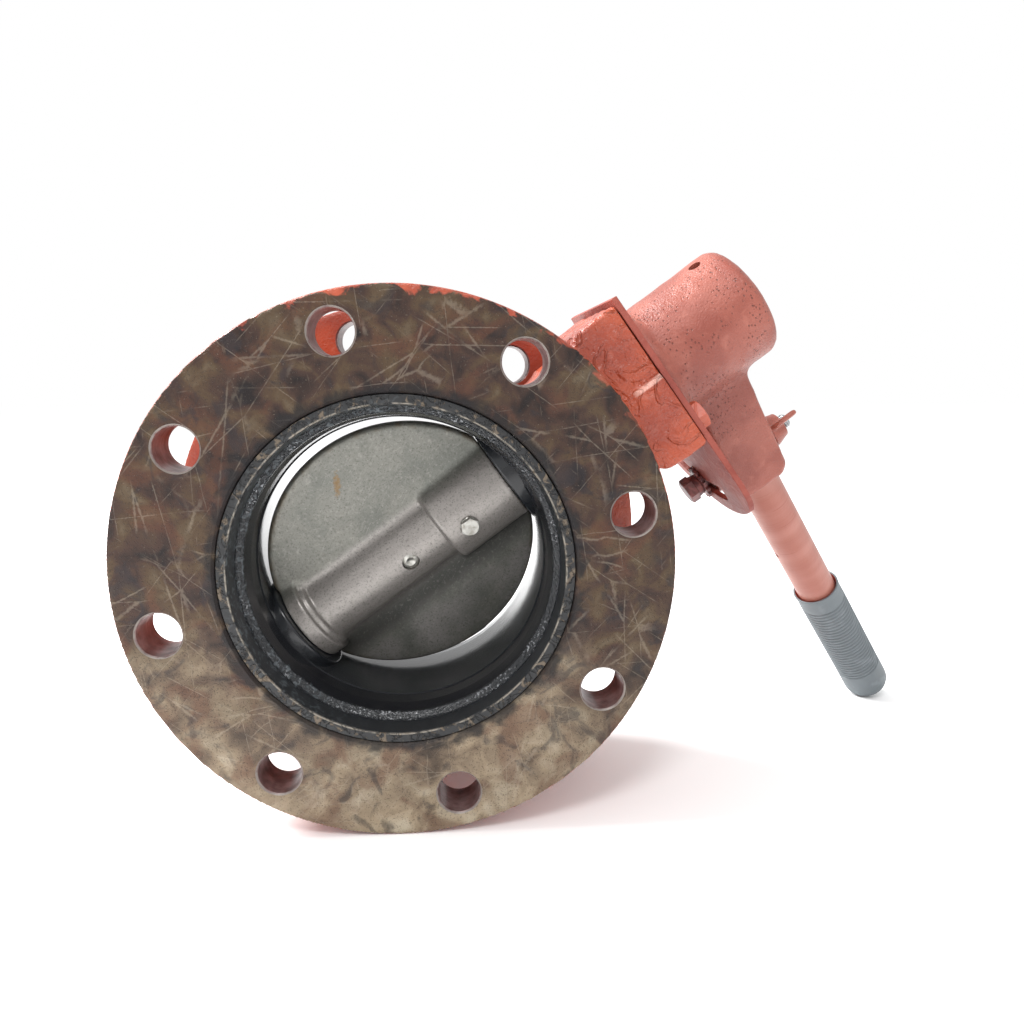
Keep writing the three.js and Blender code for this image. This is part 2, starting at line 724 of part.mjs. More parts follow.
// A moulded sleeve over the rod's end, turned from its collar to its closed end.
function grip() {
  const inner = ROD_R + GAP;
  const outer = turnedAlongPipe(
    [
      [GRIP_START, inner],
      [GRIP_START, GRIP_R - 0.8],
      [GRIP_START + 0.8, GRIP_R],
      [GRIP_END - GRIP_ROUND, GRIP_R],
      ...round(GRIP_END - GRIP_ROUND, GRIP_R - GRIP_ROUND, GRIP_ROUND, 75, 0, 5),
      [GRIP_END, 0],
      [ROD_END + GAP, 0],
      [ROD_END + GAP, inner],
      [GRIP_START, inner],
    ],
    SHAFT_SEGMENTS,
  );
  return outer.rotateX(-Math.PI / 2).translate(ROD_X, 0, 0);
}

piece("grip", "grip", grip(), turning);

// ---- Lock bolt, toothed washer and wing nut -----------------------------------------

const lock = new THREE.Group();
lock.position.z = -SLOT_R;
turning.add(lock);

const LOCK_HEAD_TOP = LOCK_HEAD_BOTTOM + LOCK_HEAD_T;
piece(
  "lock_bolt",
  "steel",
  hexBolt(LOCK_HEAD_BOTTOM, LOCK_HEAD_TOP, LOCK_HEX_R, LOCK_BOLT_R, LOCK_BOLT_END),
  lock,
);

// A thick washer whose rim is a ring of radial teeth that bite the plate.
function toothedWasher() {
  const shape = new THREE.Shape();
  for (let i = 0; i < 2 * WASHER_TEETH; i += 1) {
    const a = (i * Math.PI) / WASHER_TEETH;
    const r = i % 2 ? WASHER_R : WASHER_R - 2;
    const next = a + Math.PI / WASHER_TEETH;
    const start = [r * Math.cos(a), r * Math.sin(a)];
    if (i === 0) {
      shape.moveTo(...start);
    } else {
      shape.lineTo(...start);
    }
    shape.lineTo(r * Math.cos(next), r * Math.sin(next));
  }
  shape.holes.push(circleHole(0, 0, LOCK_BOLT_R + GAP));
  return extrudedAlongStem(shape, PAD_TOP + PLATE_LIFT - GAP - WASHER_T, WASHER_T, 8);
}

piece("toothed_washer", "steel", toothedWasher(), lock);
piece(
  "lock_spacer",
  "steel",
  ringX(
    LOCK_HEAD_TOP + GAP,
    PAD_TOP + PLATE_LIFT - 2 * GAP - WASHER_T,
    LOCK_BOLT_R + GAP,
    LOCK_SPACER_R,
    COLLAR_SEGMENTS,
  ),
  lock,
);

// Nut hub with two flared wings, in its own axes with x along the bolt.
function wingNut() {
  const hub = turned(
    [[0, 0], [0, WING_HUB_R], [2, WING_HUB_R], [WING_HUB_H, WING_HUB_TOP_R], [WING_HUB_H, 0]],
    COLLAR_SEGMENTS,
  );
  const root = WING_HUB_TOP_R - 3;
  const wing = new THREE.Shape();
  wing.moveTo(1.5, root);
  wing.lineTo(1.5, WING_HUB_R - 1);
  wing.quadraticCurveTo(3, WING_SPAN - 3, 7, WING_SPAN - 1);
  wing.quadraticCurveTo(WING_TOP, WING_SPAN + 1, WING_TOP, WING_SPAN - 4);
  wing.quadraticCurveTo(WING_TOP - 1, WING_SPAN - 9, WING_HUB_H - 1, WING_HUB_TOP_R - 1);
  wing.lineTo(WING_HUB_H - 1, root);
  wing.closePath();
  const flat = new THREE.ExtrudeGeometry(wing, {
    depth: WING_T,
    bevelEnabled: false,
    curveSegments: 6,
  }).translate(0, 0, -WING_T / 2);
  const other = flat.clone().rotateX(Math.PI);
  const bore = rodX(-1, WING_TOP, LOCK_BOLT_R + GAP, SMALL_SEGMENTS);
  return cut(join(hub, flat, other), bore);
}

const nut = piece("wing_nut", "paint", wingNut(), lock);
nut.position.x = NUT_SEAT_TOP + GAP;
nut.rotation.x = WING_TURN;

// ---- The valve as it lies ------------------------------------------------------------

turning.rotation.x = OPEN_ANGLE;
valve.add(turning);
valve.rotation.y = -STEM_LEAN;

const part = new THREE.Group();
part.add(valve);
part.updateMatrixWorld(true);
const box = new THREE.Box3().setFromObject(part, true);
valve.position.set(-(box.min.x + box.max.x) / 2, -(box.min.y + box.max.y) / 2, -box.min.z);

export default part;
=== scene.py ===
"""Butterfly valve lying on its flange rims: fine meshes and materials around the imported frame."""

import json
import math

import bmesh
import bpy
import numpy as np
import openvdb
from mathutils import Matrix, Vector


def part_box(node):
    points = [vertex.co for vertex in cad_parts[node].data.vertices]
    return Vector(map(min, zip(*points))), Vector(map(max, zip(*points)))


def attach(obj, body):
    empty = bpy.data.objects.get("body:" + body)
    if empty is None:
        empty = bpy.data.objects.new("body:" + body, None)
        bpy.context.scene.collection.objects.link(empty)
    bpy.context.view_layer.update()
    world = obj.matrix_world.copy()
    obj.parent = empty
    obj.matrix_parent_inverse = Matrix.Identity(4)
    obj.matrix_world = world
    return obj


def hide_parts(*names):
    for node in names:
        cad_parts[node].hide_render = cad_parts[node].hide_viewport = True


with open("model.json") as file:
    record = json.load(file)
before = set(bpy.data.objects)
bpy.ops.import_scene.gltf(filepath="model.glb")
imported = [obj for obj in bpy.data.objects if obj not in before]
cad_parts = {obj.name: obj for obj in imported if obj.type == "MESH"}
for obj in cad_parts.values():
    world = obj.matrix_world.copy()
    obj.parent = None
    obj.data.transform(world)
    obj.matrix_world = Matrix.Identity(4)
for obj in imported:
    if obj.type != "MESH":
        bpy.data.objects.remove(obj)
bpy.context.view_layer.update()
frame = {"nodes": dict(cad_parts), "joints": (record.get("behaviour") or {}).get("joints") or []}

MM = 0.001

# ---- The valve's own axes ----
# x along the stem, y along the pipe, z across both, origin at the middle of the bore.

JOINTS = {joint["name"]: joint for joint in frame["joints"]}
STEM = JOINTS["stem_turn"]
OPEN_ANGLE = -math.radians(STEM["range_deg"][0])


def axes_at(place, x_axis):
    """A matrix whose x axis lies along the stem and whose y axis lies along the pipe."""
    x = Vector(x_axis).normalized()
    y = Vector((0, 1, 0))
    z = x.cross(y)
    turn = Matrix((x, y, z)).transposed().to_4x4()
    return Matrix.Translation(Vector(place)) @ turn


VALVE = axes_at(STEM["pos_m"], STEM["axis"])
TURNING = VALVE @ Matrix.Rotation(OPEN_ANGLE, 4, "X")

# ---- Sizes, in millimetres, in the valve's own axes ----

HALF = 63.5  # half the face-to-face length
FLANGE_R = 139.7
FLANGE_T = 25.4
BOLT_CIRCLE_R = 120.65
BOLT_HOLE_R = 11.1
BOLT_HOLES = 8
BARREL_R = 99.0
LINER_SEAT_R = 88.7

NECK_HALF_Y = 34.0
NECK_HALF_Z = 35.0
PAD_BOTTOM = 136.0
PAD_TOP = 164.4
PAD_HALF_Y = 49.8
PAD_HALF_Z = 42.0
PAD_ROUND = 8.0
PARTING_STEP = 1.9
BOTTOM_BOSS_R = 27.0
BOTTOM_BOSS_END = 131.0
STEM_BORE_R = 15.7
PLUG_R = 17.0

SEAT_OUTER_R = 88.4
SEAT_MOUTH_R = 83.5
SEAT_HUB_FACE = 69.3
SEAT_HUB_R = 30.0

DISC_R = 75.35
DISC_FLAT = 69.0
DISC_T = 11.0
STEM_R = 11.1
UPPER_PIN_X = 39.0
LOWER_PIN_X = 0.4
RUST_RIGHT = -37.0  # the rust run on the disc, from the middle of the bore as the valve lies
RUST_UP = 43.5

PLATE_BOTTOM = 164.7
PLATE_T = 3.2
PLATE_TOP = PLATE_BOTTOM + PLATE_T
PLATE_R = 98.0
PLATE_EDGE_Z = 45.0
PLATE_EDGE_Y = -49.8
PLATE_CORNER_R = 25.0
SLOT_R = 84.0
SLOT_HALF_WIDTH = 5.1
PAD_BOLTS = [(-35.0, -31.0), (35.0, 31.0)]  # (y, z), the one in view first

HUB_R = 33.0
HUB_BOTTOM = PLATE_TOP + 0.3
HUB_TOP = 236.0
ARM_BOTTOM = 177.0
ARM_TOP = 213.8
ARM_TOP_AT_END = 210.8
ARM_END = 104.2
ARM_HALF_WIDTH = 17.5
ARM_ROUND = 8.0
NUT_SEAT_R = 11.0
NUT_SEAT_TOP = 212.8
SET_SCREW_X = 220.0
SET_SCREW_R = 3.5

ROD_X = 194.6
ROD_R = 12.7
ROD_START = 46.0
ROD_HOLE_AT = 168.0
GRIP_START = 211.0
GRIP_R = 15.3
GRIP_ROUND = 11.0
GRIP_END_WALL = 8.6

LOCK_BOLT_R = 4.6
LOCK_HOLE_R = 4.9
LOCK_HEAD_BOTTOM = 152.2
LOCK_HEAD_TOP = 158.0
LOCK_BOLT_END = 227.8
WASHER_BOTTOM = 162.2
WASHER_T = 2.2
WASHER_R = 10.8
WING_HUB_R = 10.2
WING_HUB_TOP_R = 7.9
WING_HUB_H = 10.0
WING_T = 3.2
WING_TOP = 17.6
WING_TURN = -38.0

# ---- Mesh helpers ----


def placed(name, data):
    """A new object in the scene."""
    thing = bpy.data.objects.new(name, data)
    bpy.context.scene.collection.objects.link(thing)
    return thing


def make(name, mesh, place, body, looks, slot, *nodes):
    """An object from a mesh in millimetres, in the given axes, that stands for CAD nodes."""
    mesh.transform(place @ Matrix.Scale(MM, 4))
    for look in looks:
        mesh.materials.append(look)
    piece = placed(name, mesh)
    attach(piece, body)
    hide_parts(*nodes)


def filleted(corners, steps=6):
    """A polyline from (x, y, fillet radius) corners, with each corner rounded."""
    points = []
    for i, (x, y, radius) in enumerate(corners):
        here = Vector((x, y))
        if radius <= 0:
            points.append(here)
            continue
        before = Vector(corners[i - 1][:2]) - here
        after = Vector(corners[(i + 1) % len(corners)][:2]) - here
        half = before.angle(after) / 2
        if half > math.pi / 2 - 0.01:
            points.append(here)
            continue
        reach = min(radius / math.tan(half), before.length * 0.49, after.length * 0.49)
        radius = reach * math.tan(half)
        inward = (before.normalized() + after.normalized()).normalized()
        centre = here + inward * (radius / math.sin(half))
        start = here + before.normalized() * reach - centre
        end = here + after.normalized() * reach - centre
        sweep = start.angle_signed(end)
        for k in range(steps + 1):
            turn = Matrix.Rotation(-sweep * k / steps, 2)
            points.append(centre + turn @ start)
    return points


def settled(work, mesh=None, outward=True):
    """The shape worked on, as a new mesh or put back in the given one, its faces turned outward."""
    if outward:
        bmesh.ops.recalc_face_normals(work, faces=work.faces)
    mesh = mesh or bpy.data.meshes.new("mesh")
    work.to_mesh(mesh)
    work.free()
    return mesh


def ring_of(work, along, radii):
    """New vertices round the x axis, one for each radius."""
    ring = []
    for k, radius in enumerate(radii):
        a = 2 * math.pi * k / len(radii)
        ring.append(work.verts.new((along, radius * math.cos(a), radius * math.sin(a))))
    return ring


def skin(work, rings):
    """Faces between each ring and the next. A ring can be one vertex on the axis."""
    for first, second in zip(rings, rings[1:]):
        count = max(len(first), len(second))
        for k in range(count):
            m = (k + 1) % count
            corners = [first[k % len(first)], first[m % len(first)]]
            corners += [second[m % len(second)], second[k % len(second)]]
            unique = list(dict.fromkeys(corners))
            if len(unique) > 2:
                work.faces.new(unique)


def lathe(points, segments=96, axis="X", closed=False):
    """A solid of revolution from (along, radius) points. closed joins the last point to the first."""
    work = bmesh.new()
    rings = [ring_of(work, along, [radius] * (segments if radius else 1)) for along, radius in points]
    skin(work, rings + rings[:1] if closed else rings)
    turn, about = {"X": (0, "X"), "Y": (90, "Z"), "Z": (-90, "Y")}[axis]
    bmesh.ops.rotate(work, verts=work.verts, matrix=Matrix.Rotation(math.radians(turn), 3, about))
    return settled(work)


def moved(mesh, x=0.0, y=0.0, z=0.0):
    mesh.transform(Matrix.Translation((x, y, z)))
    return mesh


def rod(start, end, radius, axis="X", segments=48, edge=0.0, at=(0, 0, 0)):
    """A plain or chamfered cylinder along an axis."""
    profile = [(start, 0), (start, radius - edge), (start + edge, radius)]
    profile += [(end - edge, radius), (end, radius - edge), (end, 0)]
    return moved(lathe(list(dict.fromkeys(profile)), segments, axis), *at)


def joined(meshes):
    """Several meshes as one."""
    work = bmesh.new()
    for mesh in meshes:
        work.from_mesh(mesh)
    return settled(work, outward=False)


def outline_mesh(outlines, x0, x1, bevel, resolution=3):
    """A flat shape in (y, z) with holes, extruded from x0 to x1 with rounded edges."""
    curve = bpy.data.curves.new("outline", "CURVE")
    curve.dimensions = "2D"
    curve.fill_mode = "BOTH"
    for points in outlines:
        spline = curve.splines.new("POLY")
        spline.points.add(len(points) - 1)
        for target, point in zip(spline.points, points):
            target.co = (point[0], point[1], 0, 1)
        spline.use_cyclic_u = True
    curve.extrude = (x1 - x0) / 2 - bevel
    curve.bevel_depth = bevel
    curve.bevel_resolution = resolution
    curve.offset = -bevel
    holder = placed("outline", curve)
    mesh = bpy.data.meshes.new_from_object(holder.evaluated_get(bpy.context.evaluated_depsgraph_get()))
    bpy.data.objects.remove(holder)
    work = bmesh.new()
    work.from_mesh(mesh)
    bmesh.ops.remove_doubles(work, verts=work.verts, dist=1e-4)
    settled(work, mesh)
    # Drawn in (x, y) and extruded along z: turned to (y, z) along x.
    mesh.transform(Matrix(((0, 0, 1, 0), (1, 0, 0, 0), (0, 1, 0, 0), (0, 0, 0, 1))))
    return moved(mesh, (x0 + x1) / 2)


def carved(mesh, cutters, operation="DIFFERENCE"):
    """The mesh with each cutter mesh taken away, or joined on."""
    target = placed("target", mesh)
    tools = [placed("tool", cutter) for cutter in cutters]
    for tool in tools:
        modifier = target.modifiers.new("cut", "BOOLEAN")
        modifier.object = tool
        modifier.operation = operation
        modifier.solver = "MANIFOLD"
    bpy.context.view_layer.update()
    graph = bpy.context.evaluated_depsgraph_get()
    result = bpy.data.meshes.new_from_object(target.evaluated_get(graph))
    result.materials.clear()
    for thing in [target, *tools]:
        bpy.data.objects.remove(thing)
    return result


def smooth_by_angle(mesh, degrees=35):
    """Smooth shading, with edges sharper than the angle left crisp."""
    mesh.polygons.foreach_set("use_smooth", [True] * len(mesh.polygons))
    work = bmesh.new()
    work.from_mesh(mesh)
    limit = math.radians(degrees)
    for edge in work.edges:
        if len(edge.link_faces) == 2:
            edge.smooth = edge.calc_face_angle(0) < limit
    return settled(work, mesh, outward=False)


# ---- Solid shapes as distance fields, for castings with fillets ----


class Field:
    """A grid of points in millimetres on which a casting's shape is worked out."""

    def __init__(self, low, high, voxel):
        self.low = np.array(low, float)
        self.voxel = voxel
        steps = [np.arange(a, b + voxel, voxel, dtype=np.float32) for a, b in zip(low, high)]
        self.x = steps[0][:, None, None]
        self.y = steps[1][None, :, None]
        self.z = steps[2][None, None, :]

    def mesh(self, distance):
        """The surface where the distance is zero."""
        grid = openvdb.FloatGrid(10.0)
        grid.copyFromArray(np.ascontiguousarray(distance.astype(np.float32)))
        points, quads = grid.convertToQuads(0.0)
        places = points * self.voxel + self.low
        mesh = bpy.data.meshes.new("casting")
        mesh.from_pydata(places.tolist(), [], quads[:, ::-1].tolist())
        work = bmesh.new()
        work.from_mesh(mesh)
        return settled(work, mesh)


def bounded(edge, *distances):
    """A solid bounded by several distances, with the edges between them rounded."""
    sides = [distance + edge for distance in distances]
    outside = np.sqrt(sum(np.maximum(side, 0) ** 2 for side in sides))
    inside = sides[0]
    for side in sides[1:]:
        inside = np.maximum(inside, side)
    return outside + np.minimum(inside, 0) - edge


def capped(radial, axial, edge=0.0):
    return bounded(edge, radial, axial)


def slab(value, low, high):
    return np.maximum(low - value, value - high)


def blended(first, second, fillet):
    """Both solids, with a fillet of about this size where they meet."""
    h = np.maximum(fillet - np.abs(first - second), 0) / fillet
    return np.minimum(first, second) - h * h * h * fillet / 6


def lumps(field, size, seed):
    """Smooth noise from -1 to 1 over the field, with lumps of about this size."""
    weights = []
    for axis in (field.x, field.y, field.z):
        line = axis.ravel() / size
        line = line - line[0]
        knots = np.arange(int(line[-1]) + 3)
        reach = np.clip(1 - np.abs(line[:, None] - knots[None, :]), 0, 1)
        weights.append((reach * reach * (3 - 2 * reach)).astype(np.float32))
    shape = [weight.shape[1] for weight in weights]
    knots = np.random.default_rng(seed).uniform(-1, 1, shape).astype(np.float32)
    return np.einsum("ia,jb,kc,abc->ijk", *weights, knots, optimize=True)


def rise(value, low, high):
    """0 below low, 1 above high and smooth between them."""
    share = np.clip((value - low) / (high - low), 0, 1)
    return share * share * (3 - 2 * share)


def mark_faces(mesh, index, test):
    """Gives a material index to the faces whose centres, an (n, 3) array in mm, pass the test."""
    centres = np.empty(len(mesh.polygons) * 3, np.float32)
    mesh.polygons.foreach_get("center", centres)
    marks = np.zeros(len(mesh.polygons), np.int32)
    marks[test(centres.reshape(-1, 3))] = index
    mesh.polygons.foreach_set("material_index", marks)
    return mesh


# ---- Body casting ----


def pad_solid(field):
    """The mounting pad: square at the plate, rounded below, its lower half a little proud."""
    proud = PARTING_STEP * rise(-field.z, -0.8, 0.8)
    depth = slab(field.x, PAD_BOTTOM, PAD_TOP + 20)
    sides = capped(depth, np.abs(field.z) - PAD_HALF_Z, PAD_ROUND)
    ends = capped(field.x - PAD_TOP, np.abs(field.y) - PAD_HALF_Y - proud, 1.2)
    return capped(sides, ends, 1.2)


def paint_runs(field):
    """How much thick paint and rough casting stand proud of the pad and the neck."""
    ridges = np.clip(1 - np.abs(lumps(field, 11, 3)) * 6, 0, 1)
    grain = lumps(field, 4.5, 5) * 0.25 + lumps(field, 12, 7) * 0.35
    seam = 2.6 * np.exp(-((field.z / 1.9) ** 2)) * rise(field.x, 145, 149)
    on_pad = rise(field.x, 128, 140) * (1 - rise(field.x, PAD_TOP - 4, PAD_TOP - 1))
    return on_pad * (0.55 * ridges + grain + seam)


def body_mesh():
    field = Field((-144, -66, -144), (168, 66, 144), 1.5)
    ring = np.sqrt(field.x**2 + field.z**2)
    barrel = capped(ring - BARREL_R, np.abs(field.y) - HALF + 2, 0)
    flange_middle = HALF - FLANGE_T / 2
    from_flange = np.abs(np.abs(field.y) - flange_middle) - FLANGE_T / 2
    flanges = capped(ring - FLANGE_R, from_flange, 1.4)
    neck_sides = [np.abs(field.y) - NECK_HALF_Y, np.abs(field.z) - NECK_HALF_Z]
    neck = bounded(9, slab(field.x, 80, PAD_TOP - 5), *neck_sides)
    across = np.sqrt(field.y**2 + field.z**2)
    boss = capped(across - BOTTOM_BOSS_R, slab(field.x, -BOTTOM_BOSS_END, -80), 2)
    drum = blended(barrel, flanges, 9)
    drum = blended(drum, boss, 8)
    head = blended(neck, pad_solid(field), 6)
    solid = blended(drum, head, 5) - paint_runs(field)
    between = 1 - rise(np.abs(field.y), HALF - FLANGE_T - 3, HALF - FLANGE_T)
    solid = solid - 0.35 * between * lumps(field, 6, 11)
    cutters = [bore_cutter(), stem_bore_cutter()]
    cutters += [bolt_hole_cutter(i) for i in range(BOLT_HOLES)]
    mesh = smooth_by_angle(carved(field.mesh(solid), cutters))
    return mark_faces(mesh, 1, in_bolt_hole)


def in_bolt_hole(centres):
    step = 2 * math.pi / BOLT_HOLES
    angle = np.arctan2(centres[:, 2], centres[:, 0]) % step - step / 2
    distance = np.hypot(centres[:, 0], centres[:, 2])
    along = distance * np.cos(angle) - BOLT_CIRCLE_R
    return np.hypot(along, distance * np.sin(angle)) < BOLT_HOLE_R + 0.85


def bore_cutter():
    edge = 0.8
    half = [(HALF - edge, LINER_SEAT_R), (HALF, LINER_SEAT_R + edge)]
    half += [(HALF + 2, LINER_SEAT_R + 2 + edge), (HALF + 2, 0)]
    return lathe([(-y, radius) for y, radius in half[::-1]] + half, 192, "Y")


def bolt_hole_cutter(index):
    angle = 2 * math.pi * (index + 0.5) / BOLT_HOLES
    edge = 0.9
    inner = HALF - FLANGE_T
    profile = [(-HALF - 2, 0)]
    for face, outward in ((-HALF, -1), (-inner, 1), (inner, -1), (HALF, 1)):
        flare = [
            (face + outward * 2, BOLT_HOLE_R + edge + 2),
            (face, BOLT_HOLE_R + edge),
            (face - outward * edge, BOLT_HOLE_R),
        ]
        profile += flare if outward < 0 else flare[::-1]
    profile.append((HALF + 2, 0))
    x = BOLT_CIRCLE_R * math.cos(angle)
    z = BOLT_CIRCLE_R * math.sin(angle)
    return moved(lathe(profile, 64, "Y"), x, 0, z)


def stem_bore_cutter():
    mouth = -BOTTOM_BOSS_END - 1
    step = -111
    profile = [(mouth, 0), (mouth, PLUG_R + 0.6), (step, PLUG_R + 0.6), (step, STEM_BORE_R)]
    return lathe([*profile, (PAD_TOP + 1, STEM_BORE_R), (PAD_TOP + 1, 0)], 48)


# ---- Seat liner ----


def liner_mesh():
    """The rubber seat: face lip, stepped mouth, bead, and a smooth bore with flats at the stem."""
    half = [
        (0, 75.8, 0),
        (28.9, 75.8, 0.5),
        (29.7, 76.5, 0.4),
        (38.0, 77.2, 2),
        (46.6, 79.0, 1.4),
        (49.4, 82.3, 1.2),
        (62.4, 83.1, 0.4),
        (HALF, SEAT_MOUTH_R, 0.5),
        (HALF, 88.2, 0.5),
        (HALF - 1.2, SEAT_OUTER_R, 0),
    ]
    front = [(-y, r, fillet) for y, r, fillet in half[::-1]]
    ring = lathe(filleted(front + half[1:], steps=4), 256, "Y", closed=True)
    flats = []
    for side in (1, -1):
        profile = [(SEAT_HUB_FACE, 0, 0), (SEAT_HUB_FACE, SEAT_HUB_R, 1.5)]
        profile += [(SEAT_HUB_FACE + 14, SEAT_HUB_R, 0), (SEAT_HUB_FACE + 14, 0, 0)]
        flat = lathe(filleted(profile), 96)
        if side < 0:
            flat.transform(Matrix.Rotation(math.pi, 4, "Z"))
        flats.append(flat)
    whole = carved(ring, flats, "UNION")
    bore = rod(-95, 95, STEM_R + 0.4)
    return smooth_by_angle(carved(whole, [bore]), 40)


# ---- Disc ----


def disc_mesh():
    reach = DISC_R + 2
    field = Field((-reach, -28, -reach), (reach, 28, reach), 0.8)
    ring = np.sqrt(field.x**2 + field.z**2)
    across = np.sqrt(field.y**2 + field.z**2)
    thickness = DISC_T / 2 - 2.1 * np.clip((ring - 40) / 35, 0, 1) ** 1.5
    plate = capped(ring - DISC_R, np.abs(field.y) - thickness, 2.2)
    collar = capped(across - 25, slab(field.x, -90, -60.5), 0.8)
    shoulder = capped(across - 22, slab(field.x, -90, -57.4), 1.6)
    shaft = capped(across - 19, slab(field.x, -80, 60), 1)
    big = capped(across - 24.5, slab(field.x, 24.5, 90), 2.5)
    boss = blended(blended(shaft, big, 3), blended(collar, shoulder, 1.5), 2.5)
    ball = np.sqrt(field.x**2 + field.y**2 + field.z**2) - DISC_R
    boss = np.maximum(boss, ball)
    solid = np.maximum(blended(plate, boss, 6), np.abs(field.x) - DISC_FLAT)
    cutters = [rod(-90, 90, STEM_R + 0.3)]
    cutters += [rod(-40, 40, 4.9, "Y", at=(x, 0, 0)) for x in (UPPER_PIN_X, LOWER_PIN_X)]
    return smooth_by_angle(carved(field.mesh(solid), cutters), 40)


def upper_pin_mesh():
    """A pin through the boss, proud of it, with a worn six-sided head on a round collar."""
    front = -25.0
    head = hexagon_head(0, 3.0, 9.6, 0.9)
    head.transform(Matrix.Translation((0, front, 0)) @ Matrix.Rotation(-math.pi / 2, 4, "Z"))
    collar = rod(front - 0.6, front + 1.2, 5.3, "Y", edge=0.3)
    shank = rod(front, 23, 4.6, "Y")
    return smooth_by_angle(moved(carved(head, [collar, shank], "UNION"), UPPER_PIN_X))


def lower_pin_mesh():
    """A round pin set below the boss, with a small dimple in its end."""
    front = -17.8
    profile = [(front + 0.9, 0, 0), (front + 0.4, 1.4, 0.4), (front, 2.6, 0.5)]
    profile += [(front + 0.7, 4.6, 0.4), (17.5, 4.6, 0.4), (17.5, 0, 0)]
    pin = lathe(filleted(profile), 48, "Y")
    return smooth_by_angle(moved(pin, LOWER_PIN_X))


# ---- Locking plate ----


def arc(centre, radius, start, end, steps):
    """Points of an arc in (y, z); an angle of zero points along -z and 90 degrees along +y."""
    points = []
    for k in range(steps + 1):
        a = math.radians(start + (end - start) * k / steps)
        points.append((centre[0] + radius * math.sin(a), centre[1] - radius * math.cos(a)))
    return points


def circle(y, z, radius, steps=32):
    return arc((y, z), radius, 0, 360 * (1 - 1 / steps), steps - 1)


def plate_outline():
    reach = PLATE_R - PLATE_CORNER_R
    start = math.degrees(math.asin((PLATE_EDGE_Y + PLATE_CORNER_R) / reach))
    centre = (reach * math.sin(math.radians(start)), -reach * math.cos(math.radians(start)))
    end = math.degrees(math.acos(-PLATE_EDGE_Z / PLATE_R))
    points = [(PLATE_EDGE_Y, PLATE_EDGE_Z)]
    points += arc(centre, PLATE_CORNER_R, -90, start, 16)
    points += arc((0, 0), PLATE_R, start, end, 72)
    return points


def slot_outline(start=-2, end=92):
    ends = [arc((0, 0), SLOT_R, a, a, 1)[0] for a in (start, end)]
    points = arc((0, 0), SLOT_R + SLOT_HALF_WIDTH, start, end, 48)
    points += arc(ends[1], SLOT_HALF_WIDTH, end, end + 180, 12)[1:-1]
    points += arc((0, 0), SLOT_R - SLOT_HALF_WIDTH, end, start, 48)
    points += arc(ends[0], SLOT_HALF_WIDTH, start + 180, start + 360, 12)[1:-1]
    return points


def plate_mesh():
    holes = [slot_outline(), circle(0, 0, STEM_R + 1.4)]
    holes += [circle(y, z, 5.4) for y, z in PAD_BOLTS]
    outlines = [plate_outline(), *holes]
    return smooth_by_angle(outline_mesh(outlines, PLATE_BOTTOM, PLATE_TOP, 0.5))


# ---- Bolts ----


def hexagon_head(start, end, across_flats, dome):
    """A hex head along x whose top at `end` is turned to a chamfered round."""
    radius = across_flats / math.sqrt(3)
    prism = lathe([(start, 0), (start, radius), (end, radius), (end, 0)], 6)
    corners = [(start - 1, 0, 0), (start - 1, radius + 2, 0), (end - dome * 1.2, radius + 2, 0)]
    corners += [(end, across_flats / 2 * 0.93, 0.4), (end, 0, 0)]
    turned = lathe(filleted(corners), 64)
    return carved(prism, [turned], "INTERSECT")


def threaded(start, end, radius, pitch=1.6, depth=0.55, segments=36):
    """A screw thread along x with its last turn chamfered."""
    samples = 6
    count = int((end - start) / pitch * samples)
    work = bmesh.new()
    rings = []
    for i in range(count + 1):
        x = start + (end - start) * i / count
        taper = 1.2 * max(0.0, 1 - (end - x) / 1.4)
        radii = []
        for k in range(segments):
            turn = (x / pitch - k / segments) % 1
            groove = depth * (1 - abs(2 * turn - 1))
            radii.append(radius - max(groove, taper))
        rings.append(ring_of(work, x, radii))
    skin(work, rings)
    work.faces.new(rings[0])
    work.faces.new(rings[-1])
    return settled(work)


def pad_bolt_mesh(y, z):
    """A hex bolt whose head bears on the plate."""
    bottom = PLATE_TOP + 0.1
    head = hexagon_head(bottom, bottom + 6.35, 14.3, 1.7)
    shank = rod(PAD_TOP - 18, bottom + 1, 4.8, segments=32)
    return smooth_by_angle(moved(carved(head, [shank], "UNION"), 0, y, z))


def lock_bolt_mesh():
    """A hex bolt, head down, whose threaded end stands proud of the arm."""
    head = hexagon_head(-LOCK_HEAD_TOP, -LOCK_HEAD_BOTTOM, 14.3, 1.7)
    head.transform(Matrix.Rotation(math.pi, 4, "Z"))
    shank = rod(LOCK_HEAD_TOP - 1, 204, LOCK_BOLT_R, segments=36)
    bolt = carved(head, [shank], "UNION")
    bolt = joined([bolt, threaded(203.5, LOCK_BOLT_END, LOCK_BOLT_R)])
    return smooth_by_angle(moved(bolt, z=-SLOT_R))


# ---- Lever casting ----


def arm_solid(field):
    """The arm that holds the rod, tapering a little to its end."""
    share = np.clip((-field.z - HUB_R) / (ARM_END - HUB_R), 0, 1)
    top = ARM_TOP - (ARM_TOP - ARM_TOP_AT_END) * share
    side = capped(slab(field.x, ARM_BOTTOM, top), slab(field.z, -ARM_END, 0), ARM_ROUND)
    return capped(side, np.abs(field.y) - ARM_HALF_WIDTH, 4)


